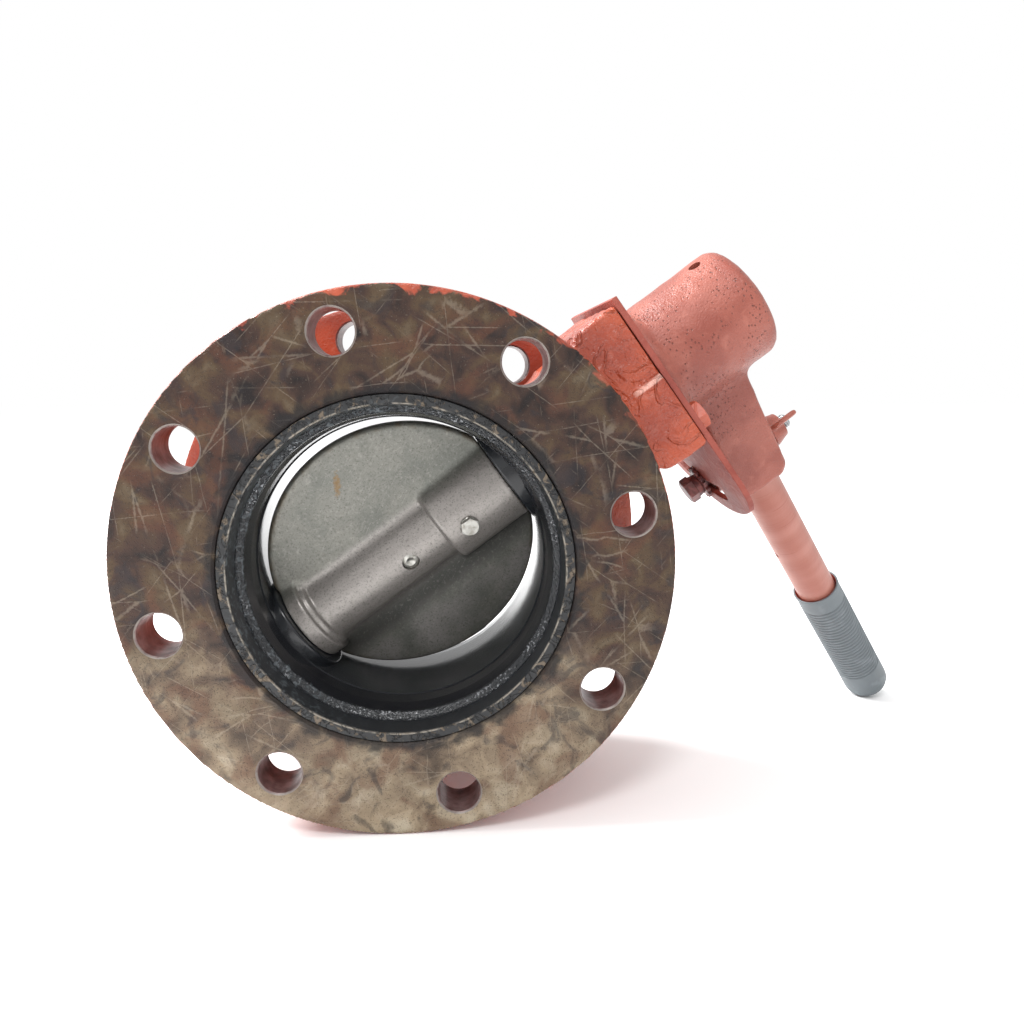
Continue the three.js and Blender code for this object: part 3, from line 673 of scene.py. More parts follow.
def lever_mesh():
    field = Field((HUB_BOTTOM - 2, -40, -ARM_END - 3), (HUB_TOP + 2, 40, 40), 0.9)
    across = np.sqrt(field.y**2 + field.z**2)
    hub = capped(across - HUB_R, slab(field.x, HUB_BOTTOM, HUB_TOP), 7)
    foot = capped(across - HUB_R - 2.5, slab(field.x, HUB_BOTTOM, HUB_BOTTOM + 5), 1.5)
    bolt = np.sqrt(field.y**2 + (field.z + SLOT_R) ** 2)
    clamp = capped(bolt - 12, slab(field.x, HUB_BOTTOM, ARM_BOTTOM + 6), 1)
    seat = capped(bolt - NUT_SEAT_R, slab(field.x, 200, NUT_SEAT_TOP), 0.5)
    solid = blended(blended(hub, foot, 9), arm_solid(field), 9)
    solid = blended(solid, clamp, 4)
    solid = solid - 0.16 * lumps(field, 3.2, 21) - 0.22 * lumps(field, 9, 23)
    solid = np.minimum(solid, seat)
    solid = np.maximum(solid, HUB_BOTTOM - field.x)
    cutters = [
        rod(HUB_BOTTOM - 3, 225, STEM_R + 0.3),
        rod(-ARM_END - 3, -ROD_START + 1, ROD_R + 0.3, "Z", at=(ROD_X, 0, 0)),
        rod(HUB_BOTTOM - 3, ARM_TOP + 3, LOCK_HOLE_R, at=(0, 0, -SLOT_R)),
        rod(0, HUB_R + 3, SET_SCREW_R, "Z", at=(SET_SCREW_X, 0, 0)),
    ]
    return smooth_by_angle(carved(field.mesh(solid), cutters), 40)


def set_screw_mesh():
    body = rod(11.6, 25, SET_SCREW_R - 0.2, "Z", 32, edge=0.6)
    socket = lathe([(22, 0), (22, 1.9), (27, 1.9), (27, 0)], 6, "Z")
    return smooth_by_angle(moved(carved(body, [socket]), SET_SCREW_X))


# ---- Rod and grip ----

GRIP_END = max(
    (TURNING.inverted() @ vertex.co).z * -1 / MM for vertex in frame["nodes"]["grip"].data.vertices
)


def rod_mesh():
    body = rod(-GRIP_END + GRIP_END_WALL + 0.3, -ROD_START, ROD_R, "Z", 96, 1, (ROD_X, 0, 0))
    small_hole = rod(ROD_X - 20, ROD_X + 20, 2.1, segments=24, at=(0, 0, -ROD_HOLE_AT))
    bolt_hole = rod(ROD_X - 20, ROD_X + 20, LOCK_HOLE_R, at=(0, 0, -SLOT_R))
    return smooth_by_angle(carved(body, [small_hole, bolt_hole]))


def grip_mesh():
    """A moulded sleeve: flared mouth, smooth collar, fine ribs and a rounded end."""
    collar_end = GRIP_START + 13
    pitch = 2.9
    ribs = 26
    corners = [(GRIP_START + 3.0, ROD_R + 0.35, 0), (GRIP_START, ROD_R + 1.5, 0.3)]
    corners += [(GRIP_START - 0.2, GRIP_R + 0.1, 0.8), (GRIP_START + 5, GRIP_R - 0.4, 2)]
    corners.append((collar_end, GRIP_R - 0.2, 0.6))
    rib = [(0.6, 0.95, 0.3), (1.2, 0.95, 0.3), (1.9, 0.2, 0.4), (pitch, 0.2, 0.4)]
    for k in range(ribs):
        start = collar_end + k * pitch
        corners += [(start + ahead, GRIP_R - depth, fillet) for ahead, depth, fillet in rib]
    corners.append((GRIP_END - 24, GRIP_R - 0.1, 2))
    for degrees in range(0, 91, 10):
        a = math.radians(degrees)
        back = GRIP_ROUND * (1 - math.sin(a))
        inward = GRIP_ROUND * (1 - math.cos(a))
        corners.append((GRIP_END - back, GRIP_R - inward, 0))
    inner_end = GRIP_END - GRIP_END_WALL
    corners += [(GRIP_END, 0, 0), (inner_end, 0, 0), (inner_end, ROD_R + 0.3, 0)]
    sleeve = lathe(filleted(corners, steps=5), closed=True)
    sleeve.transform(Matrix.Rotation(math.pi / 2, 4, "Y"))
    return smooth_by_angle(moved(sleeve, ROD_X), 50)


# ---- Toothed washer, spacer, wing nut and bottom plug ----


def toothed_washer_mesh():
    teeth = 14
    root = WASHER_R - 2.4
    outline = []
    for k in range(teeth):
        for share, radius in ((0.0, WASHER_R), (0.4, WASHER_R), (0.5, root), (0.9, root)):
            a = 2 * math.pi * (k + share) / teeth
            outline.append((radius * math.cos(a), radius * math.sin(a)))
    top = WASHER_BOTTOM + WASHER_T
    washer = outline_mesh([outline, circle(0, 0, LOCK_HOLE_R)], WASHER_BOTTOM, top, 0.3, 2)
    return smooth_by_angle(moved(washer, z=-SLOT_R))


def spacer_mesh():
    start = LOCK_HEAD_TOP + 0.2
    end = WASHER_BOTTOM - 0.2
    profile = [(start, LOCK_HOLE_R, 0), (start, 7.2, 0.5), (end, 6.4, 0.4), (end, LOCK_HOLE_R, 0)]
    ring = lathe(filleted(profile), 48, closed=True)
    return smooth_by_angle(moved(ring, z=-SLOT_R))


def wing_nut_mesh():
    """A cast nut with two upright wings, in its own axes with x along the bolt."""
    field = Field((-1, -20, -12), (20, 20, 12), 0.5)
    across = np.sqrt(field.y**2 + field.z**2)
    narrowing = (WING_HUB_R - WING_HUB_TOP_R) * rise(field.x, 1, WING_HUB_H)
    hub = capped(across - WING_HUB_R + narrowing, slab(field.x, 0, WING_HUB_H), 0.8)
    middle_x = 9.6
    middle_y = 12.2
    lean = 0.35 * (field.x - middle_x)
    out = (np.abs(field.y) - middle_y - lean) / 4.6
    oval = np.sqrt(((field.x - middle_x) / 8) ** 2 + out**2)
    wings = capped((oval - 1) * 4.6, np.abs(field.z) - WING_T / 2, 1.2)
    nut = field.mesh(blended(hub, wings, 2.5))
    return smooth_by_angle(carved(nut, [rod(-3, WING_TOP + 3, LOCK_BOLT_R + 0.2)]), 40)


def bottom_plug_mesh():
    """A screwed plug with a square socket, in the bottom boss."""
    outer = -BOTTOM_BOSS_END - 2.3
    inner = -BOTTOM_BOSS_END + 17
    profile = [(outer, 0, 0), (outer, PLUG_R, 1.2), (inner, PLUG_R, 0.8), (inner, 0, 0)]
    plug = lathe(filleted(profile), 64)
    socket = lathe([(outer - 2, 0), (outer - 2, 7.8), (outer + 6, 7.8), (outer + 6, 0)], 4)
    return smooth_by_angle(carved(plug, [socket]))


# ---- Materials ----


def shade(red, green, blue):
    """A colour as seen on a display, 0 to 255, turned into a linear one."""
    linear = [((c / 255 + 0.055) / 1.055) ** 2.4 for c in (red, green, blue)]
    return (*linear, 1)


SHADER_INPUTS = {"base_color": "Base Color", "specular_ior_level": "Specular IOR Level"}


class Look:
    """A node material in a piece's own axes, in millimetres, with short calls for its nodes."""

    def __init__(self, name, axes):
        self.material = bpy.data.materials.new(name)
        self.material.use_nodes = True
        self.tree = self.material.node_tree
        self.shader = self.tree.nodes["Principled BSDF"]
        own = self.add("ShaderNodeMapping", vector_type="TEXTURE")
        own.inputs["Location"].default_value = axes.translation
        own.inputs["Rotation"].default_value = axes.to_euler()
        own.inputs["Scale"].default_value = (MM, MM, MM)
        self.feed(own.inputs["Vector"], self.add("ShaderNodeTexCoord").outputs["Object"])
        self.place = own.outputs[0]
        self.x, self.y, self.z = self.add("ShaderNodeSeparateXYZ", self.place).outputs

    def add(self, kind, *inputs, **settings):
        """A node with its settings, and its inputs in order: each a socket, a value or None."""
        node = self.tree.nodes.new(kind)
        for key, value in settings.items():
            setattr(node, key, value)
        for socket, source in zip(node.inputs, inputs):
            self.feed(socket, source)
        return node

    def feed(self, socket, source):
        if isinstance(source, bpy.types.NodeSocket):
            self.tree.links.new(source, socket)
        elif source is not None:
            socket.default_value = source

    def scaled(self, vector, scale, turn=(0, 0, 0)):
        node = self.add("ShaderNodeMapping", vector)
        node.inputs["Scale"].default_value = scale
        node.inputs["Rotation"].default_value = [math.radians(angle) for angle in turn]
        return node.outputs[0]

    def math(self, operation, *values):
        """The values worked on from the left, two at a time."""
        result = self.add("ShaderNodeMath", *values[:2], operation=operation).outputs[0]
        return self.math(operation, result, *values[2:]) if values[2:] else result

    def plus(self, *terms):
        return self.math("ADD", *terms)

    def minus(self, a, b):
        return self.math("SUBTRACT", a, b)

    def times(self, *factors):
        return self.math("MULTIPLY", *factors)

    def noise(self, size, detail=4, distortion=0.0, place=None):
        node = self.add("ShaderNodeTexNoise", place or self.place)
        node.inputs["Scale"].default_value = 1 / size
        node.inputs["Detail"].default_value = detail
        node.inputs["Distortion"].default_value = distortion
        return node.outputs["Fac"]

    def cells(self, size, place=None, feature="F1"):
        node = self.add("ShaderNodeTexVoronoi", place or self.place, feature=feature)
        node.inputs["Scale"].default_value = 1 / size
        return node.outputs["Distance"]

    def streaks(self, length, width, turn=(0, 0, 0)):
        """Noise drawn out along x, after a turn of the pattern."""
        across = self.scaled(self.place, (1, 1, 1), turn)
        drawn = self.scaled(across, (1 / length, 1 / width, 1 / width))
        return self.noise(1, 3, place=drawn)

    def step(self, source, low, high):
        """0 below low, 1 above high; the other way round if low is the larger."""
        node = self.add("ShaderNodeMapRange", source, low, high, interpolation_type="SMOOTHSTEP")
        return node.outputs[0]

    def patches(self, size, detail, distortion, low, high):
        """Noise cut to patches: 0 below low, 1 above high."""
        return self.step(self.noise(size, detail, distortion), low, high)

    def ramp(self, source, *stops):
        """A colour scale from (position, tone) stops."""
        node = self.add("ShaderNodeValToRGB", source)
        elements = node.color_ramp.elements
        while len(elements) < len(stops):
            elements.new(0.5)
        for element, (position, tone) in zip(elements, stops):
            element.position = position
            element.color = shade(*tone)
        return node.outputs["Color"]

    def mix(self, share, first, second):
        node = self.add("ShaderNodeMix", data_type="RGBA")
        for index, source in ((0, share), (6, first), (7, second)):
            self.feed(node.inputs[index], source)
        return node.outputs[2]

    def layered(self, colour, *layers):
        """The colour with tones laid over it in turn, from (mask, share, tone) layers."""
        for mask, share, tone in layers:
            colour = self.mix(self.times(mask, share), colour, shade(*tone))
        return colour

    def blend(self, share, first, second):
        """A mix of two plain numbers."""
        return self.add("ShaderNodeMix", share, None, first, second).outputs[0]

    def ridges(self, source, width):
        """1 along the lines where a pattern passes its middle value, fading to 0 beside them."""
        return self.step(self.math("ABSOLUTE", self.minus(source, 0.5)), width, 0.0)

    def distance(self, *pairs):
        """How far the place is from a line or point, from (coordinate, value) pairs."""
        squares = [self.math("POWER", self.minus(*pair), 2.0) for pair in pairs]
        return self.math("SQRT", self.plus(*squares))

    def upright(self):
        """Coordinates to the right and upwards across the pipe, as the valve lies."""
        tilt = math.degrees(math.atan2(VALVE.col[0].z, VALVE.col[0].x))
        level = self.scaled(self.place, (1, 1, 1), (0, -tilt, 0))
        right, _, up = self.add("ShaderNodeSeparateXYZ", level).outputs
        return right, up

    def bump(self, height, depth, under=None):
        node = self.add("ShaderNodeBump")
        node.inputs["Distance"].default_value = depth * MM
        self.feed(node.inputs["Height"], height)
        self.feed(node.inputs["Normal"], under)
        return node.outputs["Normal"]

    def finished(self, **values):
        for key, source in values.items():
            self.feed(self.shader.inputs[SHADER_INPUTS.get(key, key.title())], source)
        return self.material


def paint_colour(look, thin=shade(142, 58, 38), thick=shade(164, 72, 45)):
    """Red-orange paint, uneven in depth, chalky where it is thin."""
    chalk = look.patches(7, 5, 0.6, 0.54, 0.76)
    colour = look.mix(look.patches(26, 3, 0, 0.36, 0.64), thin, thick)
    return look.layered(colour, (chalk, 0.2, (192, 122, 104)))


def paint_relief(look, grain=0.35, wrinkles=0.5, pits=0.0, where=1.0):
    """Cast grain under the paint, wrinkles in it where the share is 1, and open pores."""
    normal = look.bump(look.noise(1.1, 4), grain)
    if wrinkles:
        folds = look.ridges(look.noise(30, 1.5, 1.4), 0.05)
        creases = look.ridges(look.noise(14, 1.5, 1.6), 0.1)
        creases = look.times(creases, look.patches(17, 2, 0, 0.42, 0.7))
        waves = look.plus(folds, creases, look.times(look.noise(4, 2, 1.0), 1.4))
        normal = look.bump(look.times(waves, where), wrinkles, normal)
        normal = look.bump(look.noise(7, 3, 0.8), wrinkles * 0.4, normal)
    if pits:
        normal = look.bump(pores(look), pits, normal)
    return normal


def pores(look):
    """1 on sound metal and 0 in pinholes scattered over the hub."""
    drawn = look.scaled(look.place, (1.25, 0.8, 0.8))
    holes = look.step(look.cells(2.1, drawn), 0.3, 0.14)
    clusters = look.patches(14, 3, 0, 0.4, 0.54)
    return look.minus(1.0, look.times(holes, clusters, look.step(look.z, -80, -35)))


def red_paint(name, axes, grain, wrinkles, pits, tones, roughness=0.38):
    look = Look(name, axes)
    colour = paint_colour(look, *tones)
    if pits:
        colour = look.mix(pores(look), shade(110, 58, 48), colour)
    shine = look.blend(look.noise(9, 3), roughness - 0.1, roughness + 0.12)
    normal = paint_relief(look, grain, wrinkles, pits)
    return look.finished(base_color=colour, roughness=shine, normal=normal)


def rod_paint():
    """Thin paint on the rod, its pale pink tone partly painted glare, with faint rings left by its
    drawing.
    """
    look = Look("rod_paint", TURNING)
    rings = look.noise(1, 3, place=look.scaled(look.place, (0.02, 0.02, 0.7)))
    bands = look.noise(1, 2, place=look.scaled(look.place, (0.01, 0.01, 0.07)))
    # A pale pink tone in long bands, partly painted glare.
    colour = look.mix(look.step(bands, 0.35, 0.65), shade(160, 98, 84), shade(172, 114, 101))
    colour = look.mix(look.step(rings, 0.64, 0.74), colour, shade(146, 80, 66))
    normal = look.bump(rings, 0.12, look.bump(look.noise(1.6, 3), 0.12))
    return look.finished(base_color=colour, roughness=0.34, normal=normal)


def body_finish():
    """Red paint all over the casting but the flange faces, which are worn to dark bare iron."""
    look = Look("body_finish", VALVE)
    depth = look.math("ABSOLUTE", look.y)
    radius = look.distance((look.x, 0.0), (look.z, 0.0))
    ragged = look.times(look.minus(look.noise(6, 4), 0.5), 1.2)
    bare = look.step(look.plus(depth, ragged), HALF - 0.75, HALF - 0.45)
    # Paint that ran over the rim, most of it on the side of the neck.
    towards_neck = look.math("DIVIDE", look.plus(look.x, look.z), radius)
    near_rim = look.plus(radius, look.times(look.noise(12, 5, 1.0), 26))
    smears = look.times(look.step(near_rim, 151, 153.5), look.step(towards_neck, 0.75, 1.35))
    bare = look.times(bare, look.minus(1.0, smears))
    bare = look.math("MAXIMUM", bare, look.step(radius, 97, 94))
    iron, iron_shine, iron_normal = worn_iron(look, radius)
    # A painted highlight along the ridge across the pad.
    painted_crest_highlight = look.times(look.step(look.math("ABSOLUTE", look.z), 1.8, 0.8), look.step(look.x, 146, 149))
    paint = look.layered(paint_colour(look), (painted_crest_highlight, 0.6, (232, 186, 172)))
    colour = look.mix(bare, paint, iron)
    shine = look.blend(bare, look.blend(look.noise(9, 3), 0.2, 0.4), iron_shine)
    normal = look.add("ShaderNodeMix", bare, data_type="VECTOR")
    look.feed(normal.inputs[4], paint_relief(look, 0.35, 0.9, where=look.step(look.x, 130, 142)))
    look.feed(normal.inputs[5], iron_normal)
    return look.finished(
        base_color=colour,
        roughness=shine,
        metallic=look.times(bare, 0.25),
        specular_ior_level=look.blend(bare, 0.5, 0.32),
        normal=normal.outputs[1],
    )


def scratch_marks(look):
    """Long feathery strokes in several directions, in patches, as 0 to 1."""
    lines = []
    for turn, length in ((14, 90), (62, 110), (108, 100), (150, 80)):
        across = look.scaled(look.place, (1, 1, 1), (0, turn, 0))
        drawn = look.scaled(across, (1 / length, 0.1, 1 / 15))
        edge = look.cells(1, drawn, "DISTANCE_TO_EDGE")
        frayed = look.plus(edge, look.times(look.noise(1.6, 4), 0.04))
        patch = look.step(look.noise(26, 4, place=across), 0.48, 0.62)
        lines.append(look.times(look.step(frayed, 0.04, 0.022), patch))
    return look.math("MAXIMUM", *lines)


def worn_iron(look, radius):
    """Colour, roughness and relief of a flange face: mottled brown, scratched, black at the seat."""
    _, up = look.upright()
    uneven = look.times(look.minus(look.noise(38, 4, 0.5), 0.5), 170.0)
    pale = look.step(look.plus(up, uneven), -25, -150)
    mottle = look.noise(15, 8, 0.6)
    brown = [(0.3, (28, 22, 22)), (0.46, (60, 43, 36)), (0.58, (74, 58, 42)), (0.74, (92, 80, 64))]
    tan = [(0.3, (104, 88, 72)), (0.5, (146, 130, 108)), (0.7, (170, 158, 138))]
    speckle = look.patches(0.8, 3, 0, 0.56, 0.68)
    # Scratch strokes, and tiny pale specks that are painted glints.
    marks = look.math("MAXIMUM", scratch_marks(look), look.patches(0.9, 2, 0.5, 0.68, 0.74))
    tar = look.step(look.plus(radius, look.times(look.noise(13, 7, 1.0), 22)), 106, 100)
    colour = look.layered(
        look.mix(pale, look.ramp(mottle, *brown), look.ramp(mottle, *tan)),
        (look.patches(30, 5, 0.8, 0.52, 0.64), 0.5, (84, 52, 38)),  # rust
        (look.patches(17, 7, 1.2, 0.54, 0.66), 0.55, (38, 36, 40)),  # soot
        (speckle, 0.4, (48, 40, 36)),
        # scratches and painted glints
        (marks, 0.22, (158, 146, 130)),
        (tar, 0.85, (24, 23, 25)),
    )
    relief = look.bump(mottle, 0.5, look.bump(speckle, 0.12))
    relief = look.bump(tar, 0.25, relief)
    return colour, look.blend(mottle, 0.34, 0.6), look.bump(marks, 0.1, relief)


def bolt_hole_finish():
    """Drilled hole walls: thin purplish paint over bare iron at the mouth."""
    look = Look("bolt_hole_finish", VALVE)
    depth = look.math("ABSOLUTE", look.y)
    worn = look.step(look.plus(depth, look.times(look.noise(3, 4), 3)), 63.6, 65.0)
    colour = look.ramp(look.noise(6, 5), (0.35, (92, 70, 68)), (0.65, (134, 110, 108)))
    colour = look.layered(colour, (worn, 1, (128, 120, 114)))
    rings = look.noise(1, 2, place=look.scaled(look.place, (0.05, 0.9, 0.05)))
    normal = look.bump(rings, 0.15)
    return look.finished(base_color=colour, roughness=0.42, metallic=0.25, normal=normal)


def seat_rubber():
    """Black rubber: a smooth bore, a glossy bead, a scuffed mouth and a torn lip at the face."""
    look = Look("seat_rubber", VALVE)
    depth = look.math("ABSOLUTE", look.y)
    radius = look.distance((look.x, 0.0), (look.z, 0.0))
    bead = look.times(look.step(depth, 45.6, 46.8), look.step(depth, 50.6, 49.6))
    cone = look.times(look.step(depth, 28.9, 29.6), look.step(depth, 46.6, 45.6))
    mouth = look.step(depth, 50.5, 52)
    face = look.step(depth, 62.8, 63.3)
    above = look.step(look.minus(look.z, look.times(look.x, 0.7)), -20, 40)
    scuffs = look.times(look.patches(3, 6, 1.0, 0.5, 0.66), above, look.step(depth, 44, 47))
    dirt = look.times(look.patches(7, 6, 1.6, 0.53, 0.64), face)
    # Painted glints: pale specks on the bead, gathered in patches.
    painted_glints = look.times(look.patches(1.3, 3, 0.4, 0.56, 0.66), bead)
    painted_glints = look.times(painted_glints, look.patches(24, 3, 0.5, 0.4, 0.64))
    # A thin painted highlight along the edge of the mouth, broken into patches.
    edge = look.ridges(look.minus(radius, SEAT_MOUTH_R - 0.2), 0.7)
    colour = look.layered(
        look.mix(look.noise(12, 3), shade(26, 28, 31), shade(38, 40, 43)),
        (cone, 1, (22, 23, 27)),
        (scuffs, 0.75, (84, 90, 94)),
        (face, 0.7, (12, 12, 14)),
        (dirt, 1, (92, 80, 66)),
        (painted_glints, 0.7, (176, 178, 182)),
        # painted highlight along the mouth's edge
        (look.times(edge, look.patches(8, 4, 0, 0.42, 0.56)), 0.7, (150, 142, 130)),
    )
    shine = look.blend(mouth, look.blend(look.noise(10, 4), 0.12, 0.26), 0.4)
    shine = look.blend(face, look.blend(bead, shine, 0.14), 0.5)
    normal = look.bump(look.noise(2.2, 4, 0.5), 0.06)
    normal = look.bump(look.times(look.noise(1.5, 3, 0.6), bead), 0.7, normal)
    tears = look.times(look.ridges(look.noise(9, 4, 1.6), 0.04), face)
    normal = look.bump(tears, -0.8, look.bump(dirt, 0.3, normal))
    return look.finished(base_color=colour, roughness=shine, normal=normal)


def disc_metal():
    """Satin plated casting: mottled and finely scratched, a painted shadow along the lower side of the
    boss, painted light over the disc below it, one rust run.
    """
    look = Look("disc_metal", TURNING)
    boss = look.step(look.math("ABSOLUTE", look.z), 25, 19)
    # Painted light: the disc below the boss lightened in patches.
    painted_light_below_boss = look.times(look.step(look.z, -22, -50), look.patches(30, 3, 0, 0.3, 0.6))
    # Painted shadow: a dark band along the lower side of the boss.
    painted_shadow_beside_boss = look.step(look.math("ABSOLUTE", look.plus(look.z, 27.0)), 14, 1)
    mottle = look.noise(1.6, 6, 0.3)
    strokes = look.step(look.streaks(12, 0.35, (0, 30, 0)), 0.62, 0.72)
    right, up = look.upright()
    stain = look.distance((right, RUST_RIGHT), (look.times(up, 0.3), RUST_UP * 0.3))
    ragged = look.plus(stain, look.times(look.noise(2.4, 5, 1.0), 6))
    rust = look.times(look.step(ragged, 5.3, 3.8), look.step(look.y, 0, -1))
    edge = look.step(look.distance((look.x, 0.0), (look.z, 0.0)), 71.5, 75)
    colour = look.layered(
        look.ramp(look.noise(22, 5, 0.5), (0.35, (104, 105, 99)), (0.68, (124, 123, 116))),
        (painted_light_below_boss, 0.7, (146, 142, 139)),
        (boss, 1, (139, 134, 130)),
        (painted_shadow_beside_boss, 0.8, (56, 56, 54)),
        (look.step(mottle, 0.5, 0.72), 0.4, (90, 88, 83)),  # worn spots
        (look.step(mottle, 0.46, 0.24), 0.35, (160, 156, 151)),  # frosted spots
        (look.patches(0.8, 2, 0, 0.58, 0.68), 0.6, (86, 84, 78)),  # specks
        (strokes, 0.2, (172, 168, 163)),
        (rust, 0.7, (122, 92, 48)),
        (look.times(edge, look.patches(8, 5, 0, 0.45, 0.62)), 0.6, (96, 82, 62)),
    )
    brushed = look.streaks(9, 0.7)
    shine = look.blend(boss, look.blend(mottle, 0.34, 0.52), look.blend(brushed, 0.24, 0.46))
    normal = look.bump(look.noise(1.3, 3), 0.1, look.bump(look.noise(9, 3), 0.35))
    return look.finished(base_color=colour, roughness=shine, metallic=0.45, normal=normal)


def grip_rubber():
    look = Look("grip_rubber", TURNING)
    along = look.step(look.z, -GRIP_START - 20, -GRIP_START - 110)
    # Red paint caught on the inner edge of the mouth.
    inside = look.step(look.distance((look.x, ROD_X), (look.y, 0.0)), GRIP_R - 0.9, GRIP_R - 1.6)
    inside = look.times(inside, look.step(look.z, -GRIP_START - 6, -GRIP_START - 3))
    colour = look.layered(
        look.mix(along, shade(102, 109, 113), shade(94, 101, 105)),
        (look.patches(9, 4, 0, 0.5, 0.75), 1, (114, 121, 125)),
        (inside, 1, (164, 66, 50)),
    )
    normal = look.bump(look.noise(0.7, 3), 0.08)
    return look.finished(base_color=colour, roughness=0.55, normal=normal)


def plain_steel(name, tone, tarnish):
    look = Look(name, TURNING)
    colour = look.ramp(look.noise(3, 5, 0.6), (0.38, tone), (0.68, tarnish))
    shine = look.blend(look.noise(2, 4), 0.22, 0.46)
    normal = look.bump(look.noise(0.6, 3), 0.05)
    return look.finished(base_color=colour, roughness=shine, metallic=0.9, normal=normal)


def overpainted_steel():
    """Dirty dark paint on the clamp's head and washer, bare steel at the bolt's threaded end."""
    look = Look("overpainted_steel", TURNING)
    bare = look.step(look.plus(look.x, look.times(look.noise(2, 4), 6)), 212, 217)
    paint = look.mix(look.patches(5, 4, 0.6, 0.38, 0.68), shade(92, 58, 58), shade(140, 88, 84))
    colour = look.layered(paint, (bare, 1, (158, 162, 164)))
    shine = look.blend(bare, 0.45, 0.28)
    normal = look.bump(look.noise(1.4, 4), 0.12)
    metallic = look.times(bare, 0.95)
    return look.finished(base_color=colour, roughness=shine, metallic=metallic, normal=normal)


def bronze():
    look = Look("bronze", VALVE)
    colour = look.mix(look.noise(5, 4), shade(170, 128, 74), shade(138, 98, 58))
    normal = look.bump(look.streaks(0.6, 30), 0.05)
    return look.finished(base_color=colour, roughness=0.38, metallic=0.9, normal=normal)


# ---- Assembly ----

LOCK_AXIS = TURNING @ Matrix.Translation((0, 0, -SLOT_R * MM))
NUT = LOCK_AXIS @ Matrix.Translation(((NUT_SEAT_TOP + 0.2) * MM, 0, 0))
NUT = NUT @ Matrix.Rotation(math.radians(WING_TURN), 4, "X")

# Copies of one red paint: a paler, pinker one on the hub and nut that is partly painted sheen and
# glare, a brighter one on the bolts and plug that is painted light, and a darker one on the plate that
# is painted shade.
SHEEN_LIGHTENED_RED = (shade(134, 66, 53), shade(150, 82, 68))
SHADED_RED = (shade(124, 50, 39), shade(142, 66, 53))
LIT_RED = (shade(164, 68, 46), shade(184, 86, 60))
hub_paint = red_paint("hub_paint", TURNING, 0.42, 0.0, 0.35, SHEEN_LIGHTENED_RED)
plate_paint = red_paint("plate_paint", VALVE, 0.25, 0.2, 0.0, SHADED_RED, 0.6)
bolt_paint = red_paint("bolt_paint", VALVE, 0.15, 0.15, 0.0, LIT_RED)
nut_paint = red_paint("nut_paint", NUT, 0.15, 0.15, 0.0, SHEEN_LIGHTENED_RED)
rubber = seat_rubber()
lock_steel = overpainted_steel()
pin_steel = plain_steel("pin_steel", (174, 173, 168), (132, 129, 122))
bright_steel = plain_steel("bright_steel", (178, 180, 182), (120, 118, 114))
bearing_bronze = bronze()

body_looks = [body_finish(), bolt_hole_finish()]
front_bolt, rear_bolt = (pad_bolt_mesh(y, z) for y, z in PAD_BOLTS)
fixed_pieces = [
    ("valve_body", body_mesh(), body_looks, "red_paint", "body_casting"),
    ("rubber_seat", liner_mesh(), [rubber], "seat_rubber", "seat_liner"),
    ("quadrant_plate", plate_mesh(), [plate_paint], "red_paint", "locking_plate"),
    ("boss_plug", bottom_plug_mesh(), [bolt_paint], "red_paint", "bottom_plug"),
    ("hex_pad_bolt_front", front_bolt, [bolt_paint], "red_paint", "pad_bolt_front"),
    ("hex_pad_bolt_rear", rear_bolt, [bolt_paint], "red_paint", "pad_bolt_rear"),
]
for name, mesh, looks, slot, node in fixed_pieces:
    make(name, mesh, VALVE, "valve_body", looks, slot, node)

turning_pieces = [
    ("valve_disc", disc_mesh(), disc_metal(), "disc_metal", "disc"),
    ("upper_taper_pin", upper_pin_mesh(), pin_steel, "steel", "disc_pin_upper"),
    ("lower_taper_pin", lower_pin_mesh(), pin_steel, "steel", "disc_pin_lower"),
    ("lever_head", lever_mesh(), hub_paint, "red_paint", "lever_casting"),
    ("socket_set_screw", set_screw_mesh(), bright_steel, "steel", "hub_set_screw"),
    ("lever_bar", rod_mesh(), rod_paint(), "red_paint", "lever_rod"),
    ("hand_grip", grip_mesh(), grip_rubber(), "grip_rubber", "grip"),
    ("clamp_bolt", lock_bolt_mesh(), lock_steel, "steel", "lock_bolt"),
    ("serrated_washer", toothed_washer_mesh(), lock_steel, "steel", "toothed_washer"),
    ("clamp_spacer", spacer_mesh(), lock_steel, "steel", "lock_spacer"),
]
for name, mesh, look, slot, node in turning_pieces:
    make(name, mesh, TURNING, "lever_and_disc", [look], slot, node)
make("cast_wing_nut", wing_nut_mesh(), NUT, "wing_nut", [nut_paint], "red_paint", "wing_nut")

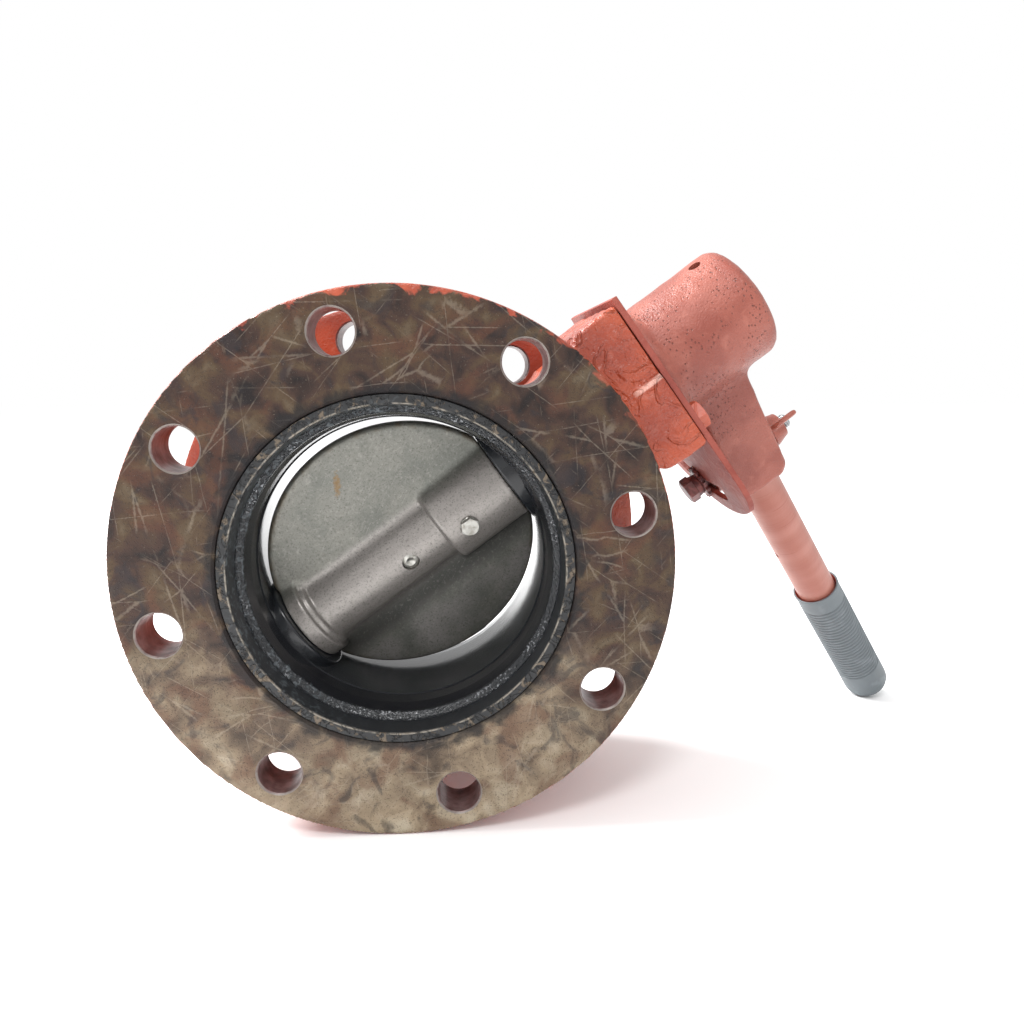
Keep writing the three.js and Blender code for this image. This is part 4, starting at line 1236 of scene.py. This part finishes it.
hidden_looks = {"stem": bright_steel, "stem_key": bright_steel, "stem_packing": rubber}
for node in ("thrust_washer", "lower_stem_bushing", "inner_stem_bushing", "upper_stem_bushing"):
    hidden_looks[node] = bearing_bronze
for node, look in hidden_looks.items():
    frame["nodes"][node].material_slots[0].material = look

# ---- Studio ----

MIDDLE = Vector(STEM["pos_m"])


def add_floor():
    work = bmesh.new()
    bmesh.ops.create_grid(work, x_segments=1, y_segments=1, size=6)
    mesh = settled(work, outward=False)
    floor = placed("floor", mesh)
    floor.location.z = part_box("body_casting")[0].z
    white = bpy.data.materials.new("floor_white")
    white.use_nodes = True
    shader = white.node_tree.nodes["Principled BSDF"]
    shader.inputs["Base Color"].default_value = (1, 1, 1, 1)
    shader.inputs["Roughness"].default_value = 1.0
    shader.inputs["Specular IOR Level"].default_value = 0.0
    mesh.materials.append(white)


def add_light(name, place, target, size, power):
    light = bpy.data.lights.new(name, "AREA")
    light.shape = "DISK"
    light.size = size
    light.energy = power
    holder = placed(name, light)
    holder.location = place
    holder.rotation_euler = (target - place).to_track_quat("-Z", "Y").to_euler()


def add_camera():
    """At the photograph's viewing point: in front of the bore, a little above and to the right."""
    from_middle = (0.02754, -0.4528, 0.09675)
    degrees_down = 9.621
    degrees_right = 4.2156
    camera = bpy.data.cameras.new("camera")
    camera.lens = 28.27
    camera.clip_start = 0.01
    holder = placed("camera", camera)
    holder.location = MIDDLE + Vector(from_middle)
    holder.rotation_euler = (math.radians(90 - degrees_down), 0, math.radians(-degrees_right))
    bpy.context.scene.camera = holder


add_floor()
add_light("key", MIDDLE + Vector((-1.0, 0.35, 1.15)), MIDDLE, 1.1, 62)
add_light("front", MIDDLE + Vector((-0.2, -1.0, 1.3)), MIDDLE, 0.4, 9)
add_camera()

world = bpy.data.worlds.new("studio")
world.use_nodes = True
world.node_tree.nodes["Background"].inputs["Color"].default_value = (1, 1, 1, 1)
world.node_tree.nodes["Background"].inputs["Strength"].default_value = 1.0
bpy.context.scene.world = world
bpy.context.scene.view_settings.view_transform = "Standard"
